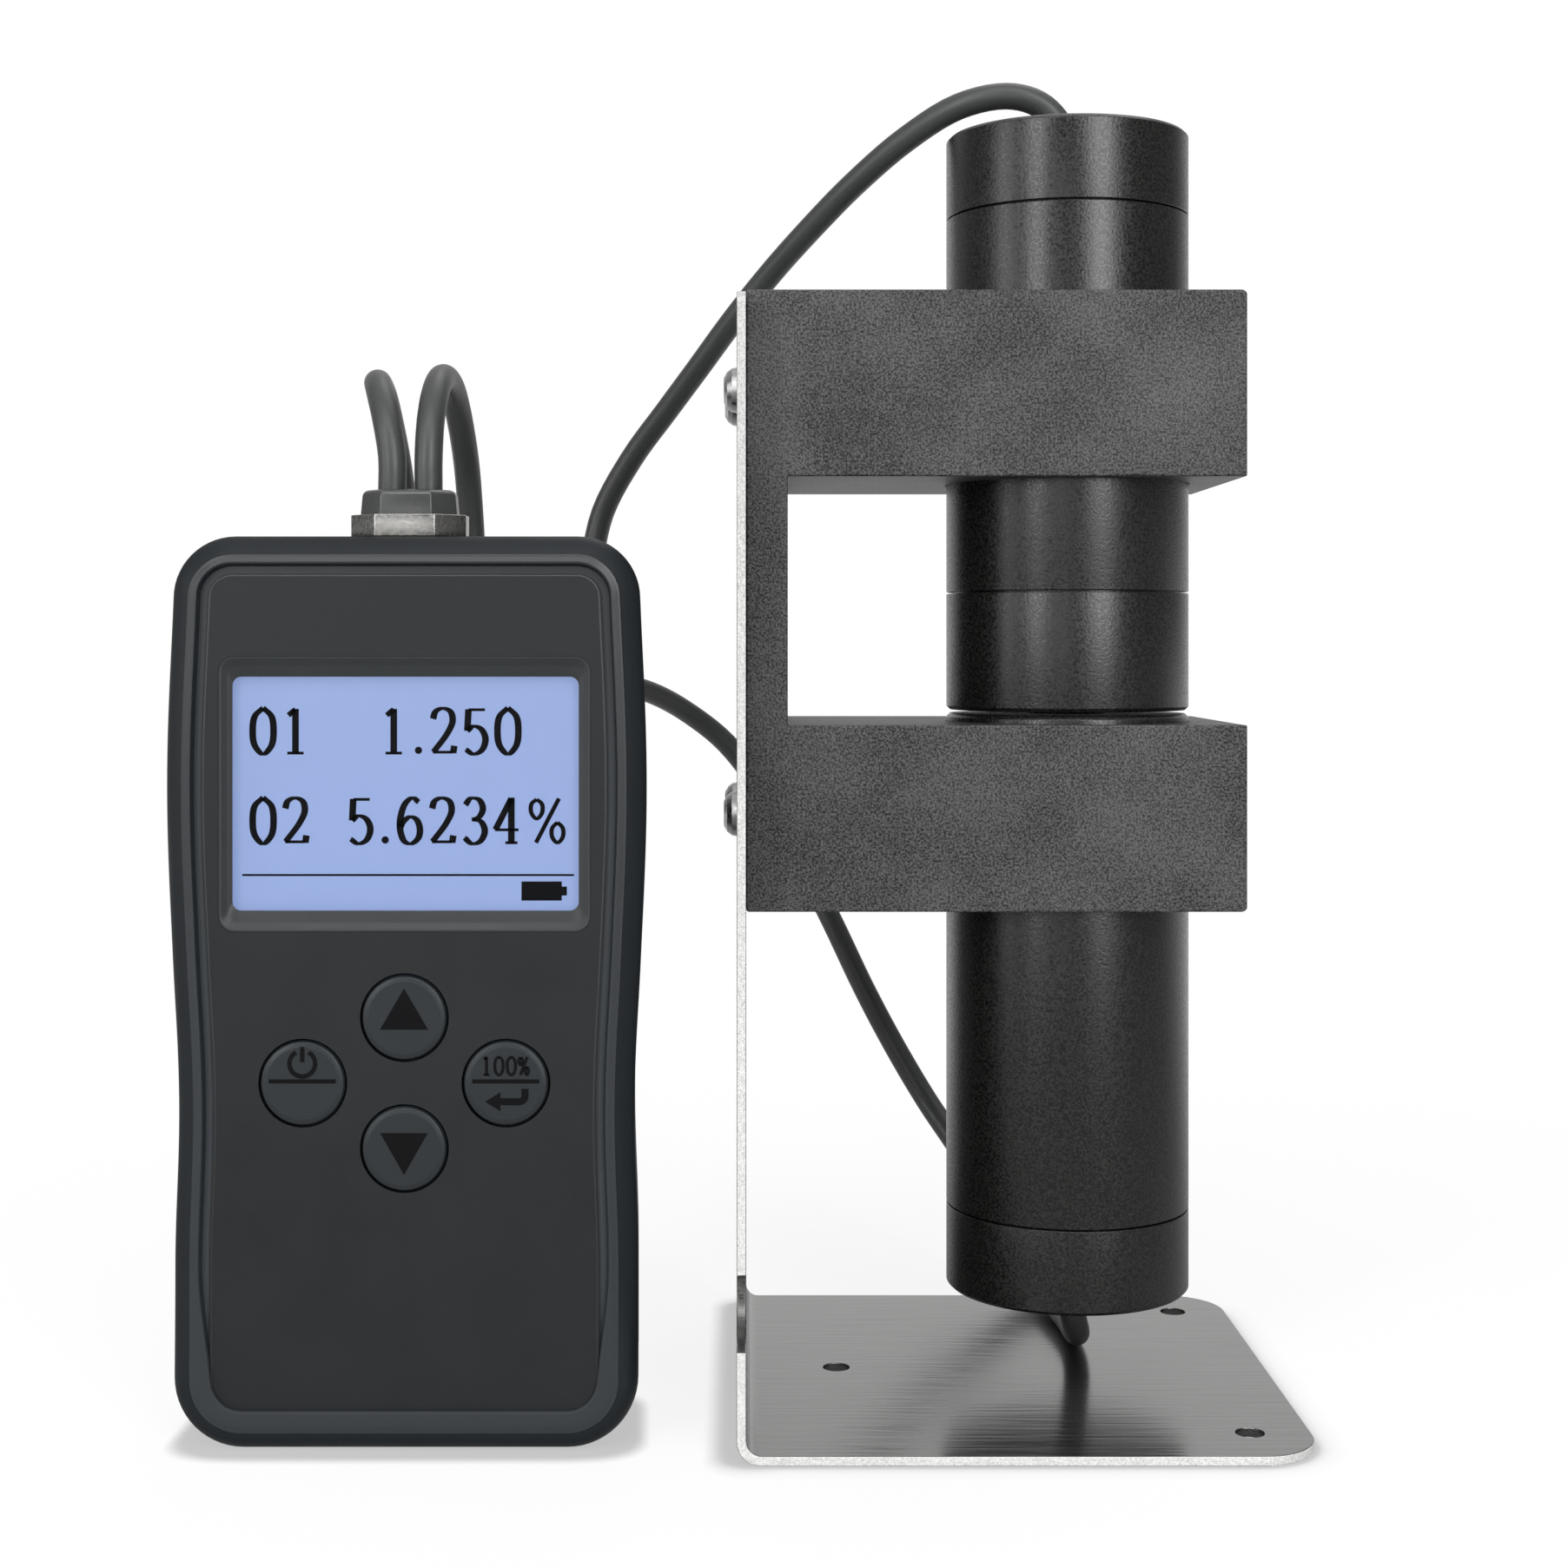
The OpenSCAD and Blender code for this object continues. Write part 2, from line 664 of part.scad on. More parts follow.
// A rubber grommet that grips the cable in the cap
module gland() {
    color(rubber_grey) revolved([
        [0, cap_wall_u - gland_flange_t], [gland_flange_r, cap_wall_u - gland_flange_t],
        [gland_flange_r, cap_wall_u], [gland_r, cap_wall_u], [gland_r, gland_face_u], [0, gland_face_u]
    ]);
}

module upper_barrel() { at_upper() barrel(); }
module upper_nose() { at_upper() nose(); }
module upper_window() { at_upper() window_disc(clear_glass); }
module upper_window_ring() { at_upper() window_ring(); }
module upper_baffle() { at_upper() baffle(); }
module receiver_board() { at_upper() receiver(); }
module upper_board_ring() { at_upper() board_ring(); }
module upper_cap() { at_upper() cap(); }
module upper_gland() { at_upper() gland(); }
module lower_barrel() { at_lower() barrel(); }
module lower_nose() { at_lower() nose(); }
module lower_window() { at_lower() window_disc([0.94, 0.94, 0.92]); }
module lower_window_ring() { at_lower() window_ring(); }
module lower_baffle() { at_lower() baffle(); }
module light_board() { at_lower() emitter(); }
module lower_board_ring() { at_lower() board_ring(); }
module lower_cap() { at_lower() cap(); }
module lower_gland() { at_lower() gland(); }

// Meter case

key_places = [[-key_side, key_z], [0, key_z + key_rise], [0, key_z - key_rise], [key_side, key_z]];

module key_holes(d0, d1) {
    for (p = key_places) depth_pin(p[0], p[1], key_d / 2 + key_clearance, d0, d1);
}

module frame_plate(w, h, r, d0, d1) {
    upright_plate(d0, d1) translate([0, display_z]) rounded_rect(w, h, r);
}

module socket_hole(r) {
    translate([socket_side, socket_depth, meter_height - 20]) cylinder(r = r, h = 30);
}

// The raised bead that runs round the sunk floor of the front half
module front_form() {
    side = rubber_t;
    loft([
        [side + crest_inset, 0], [side + 0.9, 0.06], [side + 0.4, 0.26],
        [side, crest_drop], [side, parting_depth]
    ]);
}

module sunk_floor() {
    side = rubber_t;
    loft([
        [side + crest_inset + 0.05, -0.5], [side + crest_inset + 0.1, 0], [side + 1.52, 0.15],
        [side + bead_width - 0.04, 0.7], [side + bead_width, floor_depth]
    ]);
}

module front_cover() {
    color(rubber_grey) difference() {
        union() {
            difference() {
                front_form();
                sunk_floor();
                slab(cavity_inset, inner_face, parting_depth + 1);
            }
            for (p = case_screw_places) depth_pin(p[0], p[1], boss_r, inner_face - 0.5, parting_depth);
            for (x = [-post_x, post_x], z = post_heights)
                depth_pin(x, z, post_r, inner_face - 0.5, pcb_front);
        }
        for (p = case_screw_places)
            depth_pin(p[0], p[1], case_screw_r + thread_clearance, inner_face + 1.4, parting_depth + 1);
        for (x = [-post_x, post_x], z = post_heights)
            depth_pin(x, z, board_screw_r + thread_clearance, inner_face + 1, parting_depth);
        frame_plate(frame_w, frame_h, frame_corner_r, 0, inner_face + 1);
        key_holes(0, inner_face + 1);
        socket_hole(socket_r + seat_gap);
    }
}

module bay_box(margin, d0, d1) {
    low = door_bottom - margin;
    translate([-door_half_w - margin, d0, low])
        cube([2 * (door_half_w + margin), d1 - d0, door_top + margin - low]);
}

module rear_cover() {
    color(rubber_grey) difference() {
        union() {
            difference() {
                slab(rubber_t, parting_depth, back_face);
                slab(cavity_inset, parting_depth - 1, back_inner);
            }
            bay_box(door_gap + bay_wall, bay_floor - bay_wall, back_inner + 0.5);
            for (p = case_screw_places) depth_pin(p[0], p[1], post_wall_r, parting_depth, back_inner + 0.5);
        }
        translate([-bay_half_w, bay_floor, bay_bottom])
            cube([2 * bay_half_w, meter_depth, bay_top - bay_bottom]);
        bay_box(door_gap, door_inner - seat_gap, meter_depth);
        translate([-door_half_w - door_gap, hinge_depth - door_knuckle_r - slack, door_bottom - door_gap])
            cube([2 * (door_half_w + door_gap), meter_depth, 2 * door_knuckle_r + door_gap]);
        translate([-door_half_w - lug_length - slack, hinge_depth, hinge_z]) rotate([0, 90, 0])
            cylinder(r = lug_r + seat_gap, h = 2 * (door_half_w + lug_length + slack));
        translate([0, back_face + 4, door_top]) sphere(7);
        for (p = case_screw_places) {
            depth_pin(p[0], p[1], case_screw_r + slack, parting_depth - 1, meter_depth);
            depth_pin(p[0], p[1], case_head_r + 0.3, screw_seat, meter_depth);
        }
        socket_hole(socket_r + seat_gap);
    }
}

module grip_bumper() {
    color(rubber_grey) difference() {
        loft([
            [rubber_t + 0.1, crest_drop + 0.08], [2.2, 1.05], [1.4, 1.65], [0.7, 2.3], [0.2, 3], [0, 3.8],
            [0, meter_depth - 5, side_draft], [0.15, meter_depth - 2.6, side_draft],
            [0.7, meter_depth - 0.9, side_draft], [1.5, meter_depth, side_draft]
        ]);
        slab(rubber_t, -1, meter_depth + 1);
        socket_hole(socket_r + 0.2);
    }
}

module face_panel() {
    color(panel_grey) difference() {
        slab(panel_inset, panel_front, floor_depth);
        frame_plate(frame_w, frame_h, frame_corner_r, 0, meter_depth);
        key_holes(0, meter_depth);
    }
}

// Sunk frame: a steep outer bevel, a shallow inner slope and a pocket for the window behind
module display_bezel() {
    lip_w = frame_w - 2;
    lip_h = frame_h - 2;
    thin = 0.01;
    lip_depth = window_depth - 0.4;
    color(frame_grey) difference() {
        union() {
            frame_plate(frame_w, frame_h, frame_corner_r, panel_front, inner_face);
            frame_plate(frame_w + 2, frame_h + 2, frame_corner_r, inner_face, inner_face + flange_t);
        }
        hull() {
            frame_plate(frame_w - 0.5, frame_h - 0.5, frame_corner_r, panel_front - thin, panel_front);
            frame_plate(lip_w, lip_h, frame_corner_r - 0.6, panel_front + 0.6 - thin, panel_front + 0.6);
        }
        hull() {
            frame_plate(lip_w, lip_h, frame_corner_r - 0.6, panel_front + 0.6 - thin, panel_front + 0.6);
            frame_plate(display_w, display_h, window_corner_r, lip_depth - thin, lip_depth);
        }
        frame_plate(display_w, display_h, window_corner_r, panel_front, inner_face);
        frame_plate(display_w + 2, display_h + 2, window_corner_r, window_depth, meter_depth);
    }
}

module display_window() {
    w = display_w + 2 - slack;
    h = display_h + 2 - slack;
    color(clear_glass) frame_plate(w, h, window_corner_r, window_depth, window_depth + glass_t);
}

module display_module() {
    glass_back = window_depth + glass_t + seat_gap;
    step = inner_face + flange_t + slack;
    color(display_blue)
        frame_plate(display_w + 2 - 2 * slack, display_h + 2 - 2 * slack, 1, glass_back, step);
    color([0.85, 0.86, 0.88]) frame_plate(display_w + 4, display_h + 6, 1, step, pcb_front);
}

module key_cap(place) {
    r = key_d / 2;
    front = panel_front - key_proud;
    color(key_grey) at_meter() translate([place[0], 0, place[1]]) rotate([-90, 0, 0]) rotate_extrude()
        polygon([
            [0, front], [r - 0.7, front], [r - 0.15, front + 0.3], [r, front + 0.9],
            [r, key_flange_d], [key_flange_r, key_flange_d], [key_flange_r, key_back], [0, key_back]
        ]);
}

module button_power() { key_cap(key_places[0]); }
module button_up() { key_cap(key_places[1]); }
module button_down() { key_cap(key_places[2]); }
module button_enter() { key_cap(key_places[3]); }

module circuit_board() {
    at_meter() {
        color(board_green) difference() {
            translate([-pcb_half_w, pcb_front, pcb_bottom])
                cube([2 * pcb_half_w, board_t, pcb_top - pcb_bottom]);
            for (x = [-post_x, post_x], z = post_heights)
                depth_pin(x, z, board_screw_r + slack, pcb_front - 1, pcb_back + 1);
        }
        color([0.15, 0.15, 0.16]) {
            translate([-processor[0] / 2, pcb_back, display_z - processor[2]]) cube(processor);
            translate([processor[0], pcb_back, display_z - processor[2]]) cube(memory_chip);
            translate([-2 * wire_plug[0], pcb_back, pcb_top - 2 * wire_plug[2]]) cube(wire_plug);
        }
    }
}

module key_switches() {
    color([0.2, 0.2, 0.2]) at_meter() for (p = key_places) {
        translate([p[0] - switch_size / 2, switch_top + 0.7, p[1] - switch_size / 2])
            cube([switch_size, pcb_front - switch_top - 0.7, switch_size]);
        depth_pin(p[0], p[1], 1.7, switch_top, pcb_front);
    }
}

module board_screws() {
    color(screw_steel) at_meter() for (x = [-post_x, post_x], z = post_heights) {
        depth_pin(x, z, board_screw_r, inner_face + 1.6, pcb_back);
        depth_pin(x, z, 1.9, pcb_back, pcb_back + 1.2);
    }
}

// Cells lie side by side with their buttons alternately up and down
function cell_x(i) = (i - (cell_count - 1) / 2) * cell_pitch;

module cell() {
    nub = 1;
    rotate_extrude() polygon([
        [0, 0], [cell_d / 2 - 0.5, 0], [cell_d / 2, 0.5], [cell_d / 2, cell_length - nub - 0.5],
        [cell_d / 2 - 0.5, cell_length - nub], [1.9, cell_length - nub], [1.9, cell_length],
        [0, cell_length]
    ]);
}

module battery_cells() {
    middle = (bay_bottom + bay_top) / 2;
    color([0.72, 0.60, 0.28]) at_meter() for (i = [0 : cell_count - 1])
        translate([cell_x(i), cell_axis, middle]) mirror([0, 0, i % 2])
            translate([0, 0, -cell_length / 2]) cell();
}

// A contact strip behind one or two cell ends, with a spring or a raised button for each cell
module contact_strip(cells) {
    first = cell_x(cells[0]) - contact_width / 2;
    last = cell_x(cells[len(cells) - 1]) + contact_width / 2;
    translate([first, cell_axis - contact_width / 2, 0]) cube([last - first, contact_width, contact_t]);
    for (i = cells) translate([cell_x(i), cell_axis, contact_t])
        cylinder(r1 = spring_r[0], r2 = spring_r[1], h = contact_reach - contact_t);
}

module battery_contacts() {
    color(contact_metal) at_meter() {
        for (cells = [[0, 1], [2, 3]]) translate([0, 0, bay_bottom]) contact_strip(cells);
        for (cells = [[0], [1, 2], [3]]) translate([0, 0, bay_top]) mirror([0, 0, 1]) contact_strip(cells);
    }
}

// Door with a rounded lower edge that turns on two lugs
module battery_door() {
    w = 2 * door_half_w;
    grip_h = 10;
    color(rubber_grey) at_meter() {
        difference() {
            union() {
                translate([-door_half_w, door_inner, hinge_z]) cube([w, door_t, door_top - hinge_z]);
                translate([-door_half_w, hinge_depth, hinge_z]) rotate([0, 90, 0])
                    cylinder(r = door_knuckle_r, h = w);
            }
            for (k = [0 : 3]) translate([-grip_h, back_face, door_top - 8 - 2.4 * k]) rotate([0, 90, 0])
                cylinder(r = 0.6, h = 2 * grip_h);
        }
        for (side = [0, 1]) mirror([side, 0, 0]) translate([door_half_w - 1, hinge_depth, hinge_z])
            rotate([0, 90, 0]) cylinder(r = lug_r, h = 1 + lug_length);
    }
}

module case_screws() {
    color(screw_steel) at_meter() for (p = case_screw_places) difference() {
        union() {
            depth_pin(p[0], p[1], case_screw_r, inner_face + 2, screw_seat);
            translate([p[0], screw_seat, p[1]]) rotate([-90, 0, 0]) rotate_extrude() polygon([
                [0, 0], [case_head_r, 0], [case_head_r, 0.9], [0.7 * case_head_r, 1.7], [0, 1.9]
            ]);
        }
        for (turn = [0, 90]) translate([p[0], screw_seat + 1.6, p[1]]) rotate([0, turn, 0])
            cube([3, 1.6, 0.6], center = true);
    }
}

// Cable connection

module cable_socket() {
    under = meter_height - cavity_inset;
    base = meter_height - plug_reach - 2;
    color([0.2, 0.2, 0.2]) at_meter() translate([socket_side, socket_depth, 0]) difference() {
        union() {
            translate([0, 0, base]) cylinder(r = socket_r, h = meter_height - 0.4 - base);
            translate([0, 0, under - 1.8]) cylinder(r = socket_flange_r, h = 1.8 - seat_gap);
        }
        translate([0, 0, base + 1.5]) cylinder(d = socket_d, h = plug_reach + 2);
    }
}

module octagon(size, cut) {
    x = size[0] / 2;
    y = size[1] / 2;
    polygon([
        [cut - x, -y], [x - cut, -y], [x, cut - y], [x, y - cut],
        [x - cut, y], [cut - x, y], [-x, y - cut], [-x, cut - y]
    ]);
}

module cable_plug() {
    color([0.25, 0.26, 0.26]) at_meter() translate([socket_side, socket_depth, 0]) {
        translate([0, 0, meter_height]) linear_extrude(plug_step[2]) octagon(plug_step, 4.4);
        translate([0, 0, meter_height + plug_step[2]]) linear_extrude(plug_neck[2]) octagon(plug_neck, 3.6);
        translate([0, 0, meter_height - plug_reach]) cylinder(d = socket_d - 2 * slack, h = plug_reach);
    }
}

module upper_probe_cable() {
    color(cable_grey) tube_along(upper_route, cable_d, cable_sides);
}

module lower_probe_cable() {
    color(cable_grey) tube_along(lower_route, cable_d, cable_sides);
}

stand_plate();
probe_bracket();
bracket_screws();
clamp_screws();
upper_barrel();
upper_nose();
upper_window();
upper_window_ring();
upper_baffle();
receiver_board();
upper_board_ring();
upper_cap();
upper_gland();
lower_barrel();
lower_nose();
lower_window();
lower_window_ring();
lower_baffle();
light_board();
lower_board_ring();
lower_cap();
lower_gland();
at_meter() front_cover();
at_meter() rear_cover();
at_meter() grip_bumper();
at_meter() face_panel();
at_meter() display_bezel();
at_meter() display_window();
at_meter() display_module();
button_power();
button_up();
button_down();
button_enter();
circuit_board();
key_switches();
board_screws();
battery_cells();
battery_contacts();
battery_door();
case_screws();
cable_socket();
cable_plug();
upper_probe_cable();
lower_probe_cable();
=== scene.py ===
"""A transmission density meter: two probes face to face in a bracket on a sheet metal stand, wired to a
handheld meter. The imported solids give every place. This file dresses them: finer surfaces, finishes, cables,
the display's figures, and a plain studio. Lengths are in millimetres until they go into a mesh."""

import math

import bmesh
import bpy
import numpy as np
from bpy.props import FloatProperty, FloatVectorProperty, IntProperty, PointerProperty
from bpy.types import Operator, Panel, PropertyGroup
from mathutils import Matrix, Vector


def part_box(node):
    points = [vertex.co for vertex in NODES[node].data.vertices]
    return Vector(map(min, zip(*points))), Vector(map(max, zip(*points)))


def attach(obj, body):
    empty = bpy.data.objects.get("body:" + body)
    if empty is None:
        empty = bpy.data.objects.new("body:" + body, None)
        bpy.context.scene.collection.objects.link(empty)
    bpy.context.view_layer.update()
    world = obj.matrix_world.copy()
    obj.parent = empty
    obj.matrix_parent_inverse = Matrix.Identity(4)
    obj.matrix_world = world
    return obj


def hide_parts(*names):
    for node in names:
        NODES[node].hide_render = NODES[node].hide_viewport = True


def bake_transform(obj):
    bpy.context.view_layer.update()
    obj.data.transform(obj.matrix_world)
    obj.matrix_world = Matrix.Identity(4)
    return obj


bl_info = {
    "name": "Optical Density Meter",
    "version": (1, 0, 0),
    "blender": (4, 5, 0),
    "location": "View3D > Sidebar > Density Meter",
    "description": "Builds a density meter with its stand, probes, cables and handheld meter",
    "category": "Add Mesh",
}

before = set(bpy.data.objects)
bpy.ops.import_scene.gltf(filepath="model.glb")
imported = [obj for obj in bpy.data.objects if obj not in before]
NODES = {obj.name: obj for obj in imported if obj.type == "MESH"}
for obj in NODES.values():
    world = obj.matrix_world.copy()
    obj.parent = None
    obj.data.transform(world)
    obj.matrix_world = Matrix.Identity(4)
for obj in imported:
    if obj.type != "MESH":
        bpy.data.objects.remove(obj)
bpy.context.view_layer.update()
MM = 0.001

# The photograph in pixels: its sides, its focal length, and where the level camera's axis meets it
PHOTO_SIDE, PHOTO_FOCAL, PHOTO_AIM = 1805, 2700, (859, 739)
# What the lamps are turned to, in metres
LAMP_AIM = (-0.05, 0, 0.11)
# Thickness of anything printed
PRINT = 0.03
# Where the meter's sides swell most, and how far up and down the swell and the grip reach
SWELL_HEIGHT, SWELL_REACH, WAIST_REACH = 103, 42.5, 24
# Insets less than this are on the rubber's wall, which narrows between these depths
WALL_INSET, DRAFT_START, DRAFT_END = 2.8, 3.8, 21


def node_box(node):
    """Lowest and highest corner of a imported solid, in millimetres."""
    low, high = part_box(node)
    return np.array(low) / MM, np.array(high) / MM


CASE_LOW, CASE_HIGH = node_box("grip_bumper")
CASE_X = (CASE_LOW[0] + CASE_HIGH[0]) / 2
FRONT_Y = node_box("front_cover")[0][1]
CASE_TOP = CASE_HIGH[2]
UPPER_FACE = node_box("upper_nose")[0][2]
LOWER_FACE = node_box("lower_nose")[1][2]
DISPLAY_Z = sum(node_box("display_bezel"))[2] / 2


def tone(red, green, blue):
    """Linear colour of an sRGB colour given in steps of 0 to 255."""
    c = np.array([red, green, blue]) / 255
    return tuple(np.where(c <= 0.04045, c / 12.92, ((c + 0.055) / 1.055) ** 2.4).tolist())


# Surfaces. A shape is a pair: an array of points in millimetres, and a list of arrays of faces, each array
# with one row of point numbers per face.


def unit(vectors):
    """The same directions with a length of 1."""
    return vectors / np.linalg.norm(vectors, axis=-1, keepdims=True)


def loft(rings, ring_shaped=False):
    """A skin over a stack of outlines with equal counts: quads between neighbours. A ring-shaped stack
    closes on its first outline, as a tyre does, and any other is closed by its first and last outline."""
    rings = np.asarray(rings, float)
    number = np.arange(rings[..., 0].size).reshape(rings.shape[:2])
    beside, above = np.roll(number, -1, axis=1), np.roll(number, -1, axis=0)
    quads = np.stack([number, beside, np.roll(above, -1, axis=1), above], axis=-1)
    faces = [quads.reshape(-1, 4)] if ring_shaped else [quads[:-1].reshape(-1, 4), number[[0, -1]]]
    return rings.reshape(-1, 3), faces


def level(outline, height):
    """A flat outline as points that share a third coordinate."""
    return np.column_stack([outline, np.full(len(outline), height)])


def combine(*shapes):
    """Several shapes as one, with the faces of each counted on from the one before."""
    starts = np.cumsum([0] + [len(points) for points, faces in shapes[:-1]])
    faces = [part + start for start, shape in zip(starts, shapes) for part in shape[1]]
    return np.vstack([points for points, faces in shapes]), faces


def soften(points, radius, steps=3, closed=True):
    """A polyline with each corner replaced by an arc of that radius, tangent to both its sides. radius
    is one number or one for each corner. The ends of an open line stay."""
    p = np.asarray(points, float)
    radius = np.full(len(p), radius, float)
    if not closed:
        radius[[0, -1]] = 0
    before, after = np.roll(p, 1, axis=0) - p, np.roll(p, -1, axis=0) - p
    if not closed:
        before[0], after[-1] = -after[0], -before[-1]
    before, after = unit(before), unit(after)
    half = np.arccos(np.clip((before * after).sum(1), -1, 1)) / 2
    straight = half > math.pi / 2 - 1e-4
    half = np.where(straight, math.pi / 4, half)
    reach = np.where(straight, 0, radius / np.tan(half))
    middle = before + after
    middle /= np.maximum(np.linalg.norm(middle, axis=1), 1e-9)[:, None]
    centre = p + middle * np.where(straight, 0, radius / np.sin(half))[:, None]
    start, end = p + before * reach[:, None] - centre, p + after * reach[:, None] - centre
    turn = (math.pi - 2 * half)[:, None, None]
    k = np.linspace(0, 1, steps + 1)[None, :, None]
    arc = (start[:, None] * np.sin((1 - k) * turn) + end[:, None] * np.sin(k * turn)) / np.sin(turn)
    line = (centre[:, None] + arc).reshape(-1, p.shape[1])
    return line[np.linalg.norm(np.diff(line, axis=0, prepend=line[:1] + 1), axis=1) > 1e-6]


def turned(section, segments, ring_shaped=True):
    """A section of (radius, height) points carried round the Z axis: x = r cos a, y = r sin a, z = h."""
    section = np.asarray(section, float)
    angle = np.linspace(0, 2 * math.pi, segments, endpoint=False)
    r, h = section[:, 0, None], section[:, 1, None]
    return loft(np.stack([r * np.cos(angle), r * np.sin(angle), h + 0 * angle], -1), ring_shaped)


def moved(shape, offset, mirrored=False):
    """The shape moved, and turned upside down first where it is mirrored."""
    points, faces = shape
    return points * (1, 1, -1 if mirrored else 1) + np.asarray(offset, float), faces


def on_face(shape, x=0.0, z=0.0, depth=0.0):
    """A shape drawn in (x, up, depth) put on the front of the meter: depth runs into it."""
    points, faces = shape
    return points[:, [0, 2, 1]] + (CASE_X + x, FRONT_Y + depth, z), faces


def smooth_line(points, per_span):
    """A line through given points: a centripetal Catmull-Rom cubic between each two, whose knots
    are spaced by the square root of the distance."""
    p = np.asarray(points, float)
    p = np.vstack([2 * p[0] - p[1], p, 2 * p[-1] - p[-2]])
    knots = np.concatenate([[0], np.cumsum(np.sqrt(np.linalg.norm(np.diff(p, axis=0), axis=1)))])
    p0, p1, p2, p3 = (p[i:len(p) - 3 + i, None] for i in range(4))
    t0, t1, t2, t3 = (knots[i:len(p) - 3 + i, None, None] for i in range(4))
    t = t1 + (t2 - t1) * np.linspace(0, 1, per_span, endpoint=False)[None, :, None]

    def mix(a, b, start, end):
        return (end - t) / (end - start) * a + (t - start) / (end - start) * b

    middle = mix(p1, p2, t1, t2)
    line = mix(mix(mix(p0, p1, t0, t1), middle, t0, t2), mix(middle, mix(p2, p3, t2, t3), t1, t3), t1, t2)
    return np.vstack([line.reshape(-1, p.shape[1]), p[-2]])


def tube(line, radius, sides):
    """A round section carried along a line. One side of it is always square to the fixed direction, of
    a few tried, that the line keeps furthest from."""
    along = unit(np.gradient(line, axis=0))
    tries = unit(np.array([
        (1, 0, 0), (0, 1, 0), (0, 0, 1), (1, 1, 0), (1, -1, 0), (1, 0, 1), (1, 0, -1),
        (0, 1, 1), (0, 1, -1), (1, 1, 1), (1, 1, -1), (1, -1, 1), (-1, 1, 1)]))
    fixed = tries[np.abs(tries @ along.T).max(axis=1).argmin()]
    side = unit(np.cross(along, fixed))
    other = np.cross(along, side)
    angle = np.linspace(0, 2 * math.pi, sides, endpoint=False)[None, :, None]
    return loft(line[:, None] + radius * (np.cos(angle) * side[:, None] + np.sin(angle) * other[:, None]))


def pen_stroke(points, broad, fine, curved):
    """A flat stroke along a line in (x, up), as a broad pen draws it: broad where the line runs up or
    down, fine where it runs across."""
    line = smooth_line(points, 8) if curved else np.asarray(points, float)
    along = unit(np.gradient(line, axis=0))
    half = (fine + (broad - fine) * np.abs(along[:, 1:])) / 2
    across = np.stack([-along[:, 1], along[:, 0]], -1) * half
    left, right = line + across, line - across
    corners = [(left, 0), (right, 0), (right, PRINT), (left, PRINT)]
    return loft(np.stack([level(*corner) for corner in corners], axis=1))


def ruled(points, width):
    """A flat line of even width through points in (x, up)."""
    return pen_stroke(points, width, width, False)


def plate(outline):
    """A printed area with an outline in (x, up), from the surface to the print's thickness."""
    return loft([level(outline, depth) for depth in (0, PRINT)])


def round_rect(width, height, radius):
    """A rectangle about the origin with four round corners, in (x, up)."""
    x, y = width / 2, height / 2
    return soften([(-x, -y), (x, -y), (x, y), (-x, y)], radius, 8)


def case_half_width(z):
    """Half the meter's width at a height: swollen beside the display and drawn in over the grip, each by
    a cosine hump."""

    def hump(height, middle, reach):
        wave = height * (1 + np.cos(math.pi * (z - middle) / reach)) / 2
        return np.where(np.abs(z - middle) < reach, wave, 0)

    s = sizes()
    swell = hump(s.swell, SWELL_HEIGHT, SWELL_REACH)
    return CASE_HIGH[0] - CASE_X - s.swell + swell - hump(s.waist, s.waist_height, WAIST_REACH)


def case_outline(inset, corner_steps=14, side_steps=44):
    """The meter's outline seen from the front, drawn in by inset, in (x, up): four corner arcs about
    fixed centres, joined by the two drawn-in sides."""
    low_r, high_r = sizes().bottom_corner, sizes().top_corner
    top = CASE_TOP - high_r
    low_x, high_x = case_half_width(low_r) - low_r, case_half_width(top) - high_r
    turn = np.linspace(0, math.pi / 2, corner_steps + 1)
    side = np.linspace(low_r, top, side_steps + 2)[1:-1]

    def arc(x, z, radius, start):
        return np.column_stack([x + radius * np.cos(start + turn), z + radius * np.sin(start + turn)])

    right = np.column_stack([case_half_width(side) - inset, side])
    return np.vstack([
        arc(low_x, low_r, low_r - inset, -math.pi / 2), right, arc(high_x, top, high_r - inset, 0),
        arc(-high_x, top, high_r - inset, math.pi / 2), right[::-1] * (-1, 1),
        arc(-low_x, low_r, low_r - inset, math.pi),
    ])


def case_moulding(section, low_section=None):
    """A section of (inset, depth) points carried round the meter's outline. Where there is a section for
    the low end, the first turns into it on the way down, by a cosine ramp in height. Outside the rubber's
    wall, everything narrows evenly towards the back."""
    rings, s = [], sizes()
    low_section = section if low_section is None else low_section
    for (inset, depth), (low_inset, low_depth) in zip(section, low_section):
        outline, low_outline = case_outline(inset), case_outline(low_inset)
        ramp = np.clip((outline[:, 1:] - s.fade_bottom) / s.fade_height, 0, 1)
        part = (1 - np.cos(math.pi * ramp)) / 2
        outline = part * outline + (1 - part) * low_outline
        depths = part * depth + (1 - part) * low_depth
        if inset < WALL_INSET:
            behind = np.clip((depths - DRAFT_START) / (DRAFT_END - DRAFT_START), 0, 1)
            outline[:, :1] *= 1 - s.side_draft * behind / (CASE_HIGH[0] - CASE_X)
        rings.append(np.column_stack([outline, depths]))
    return on_face(loft(rings, ring_shaped=True))


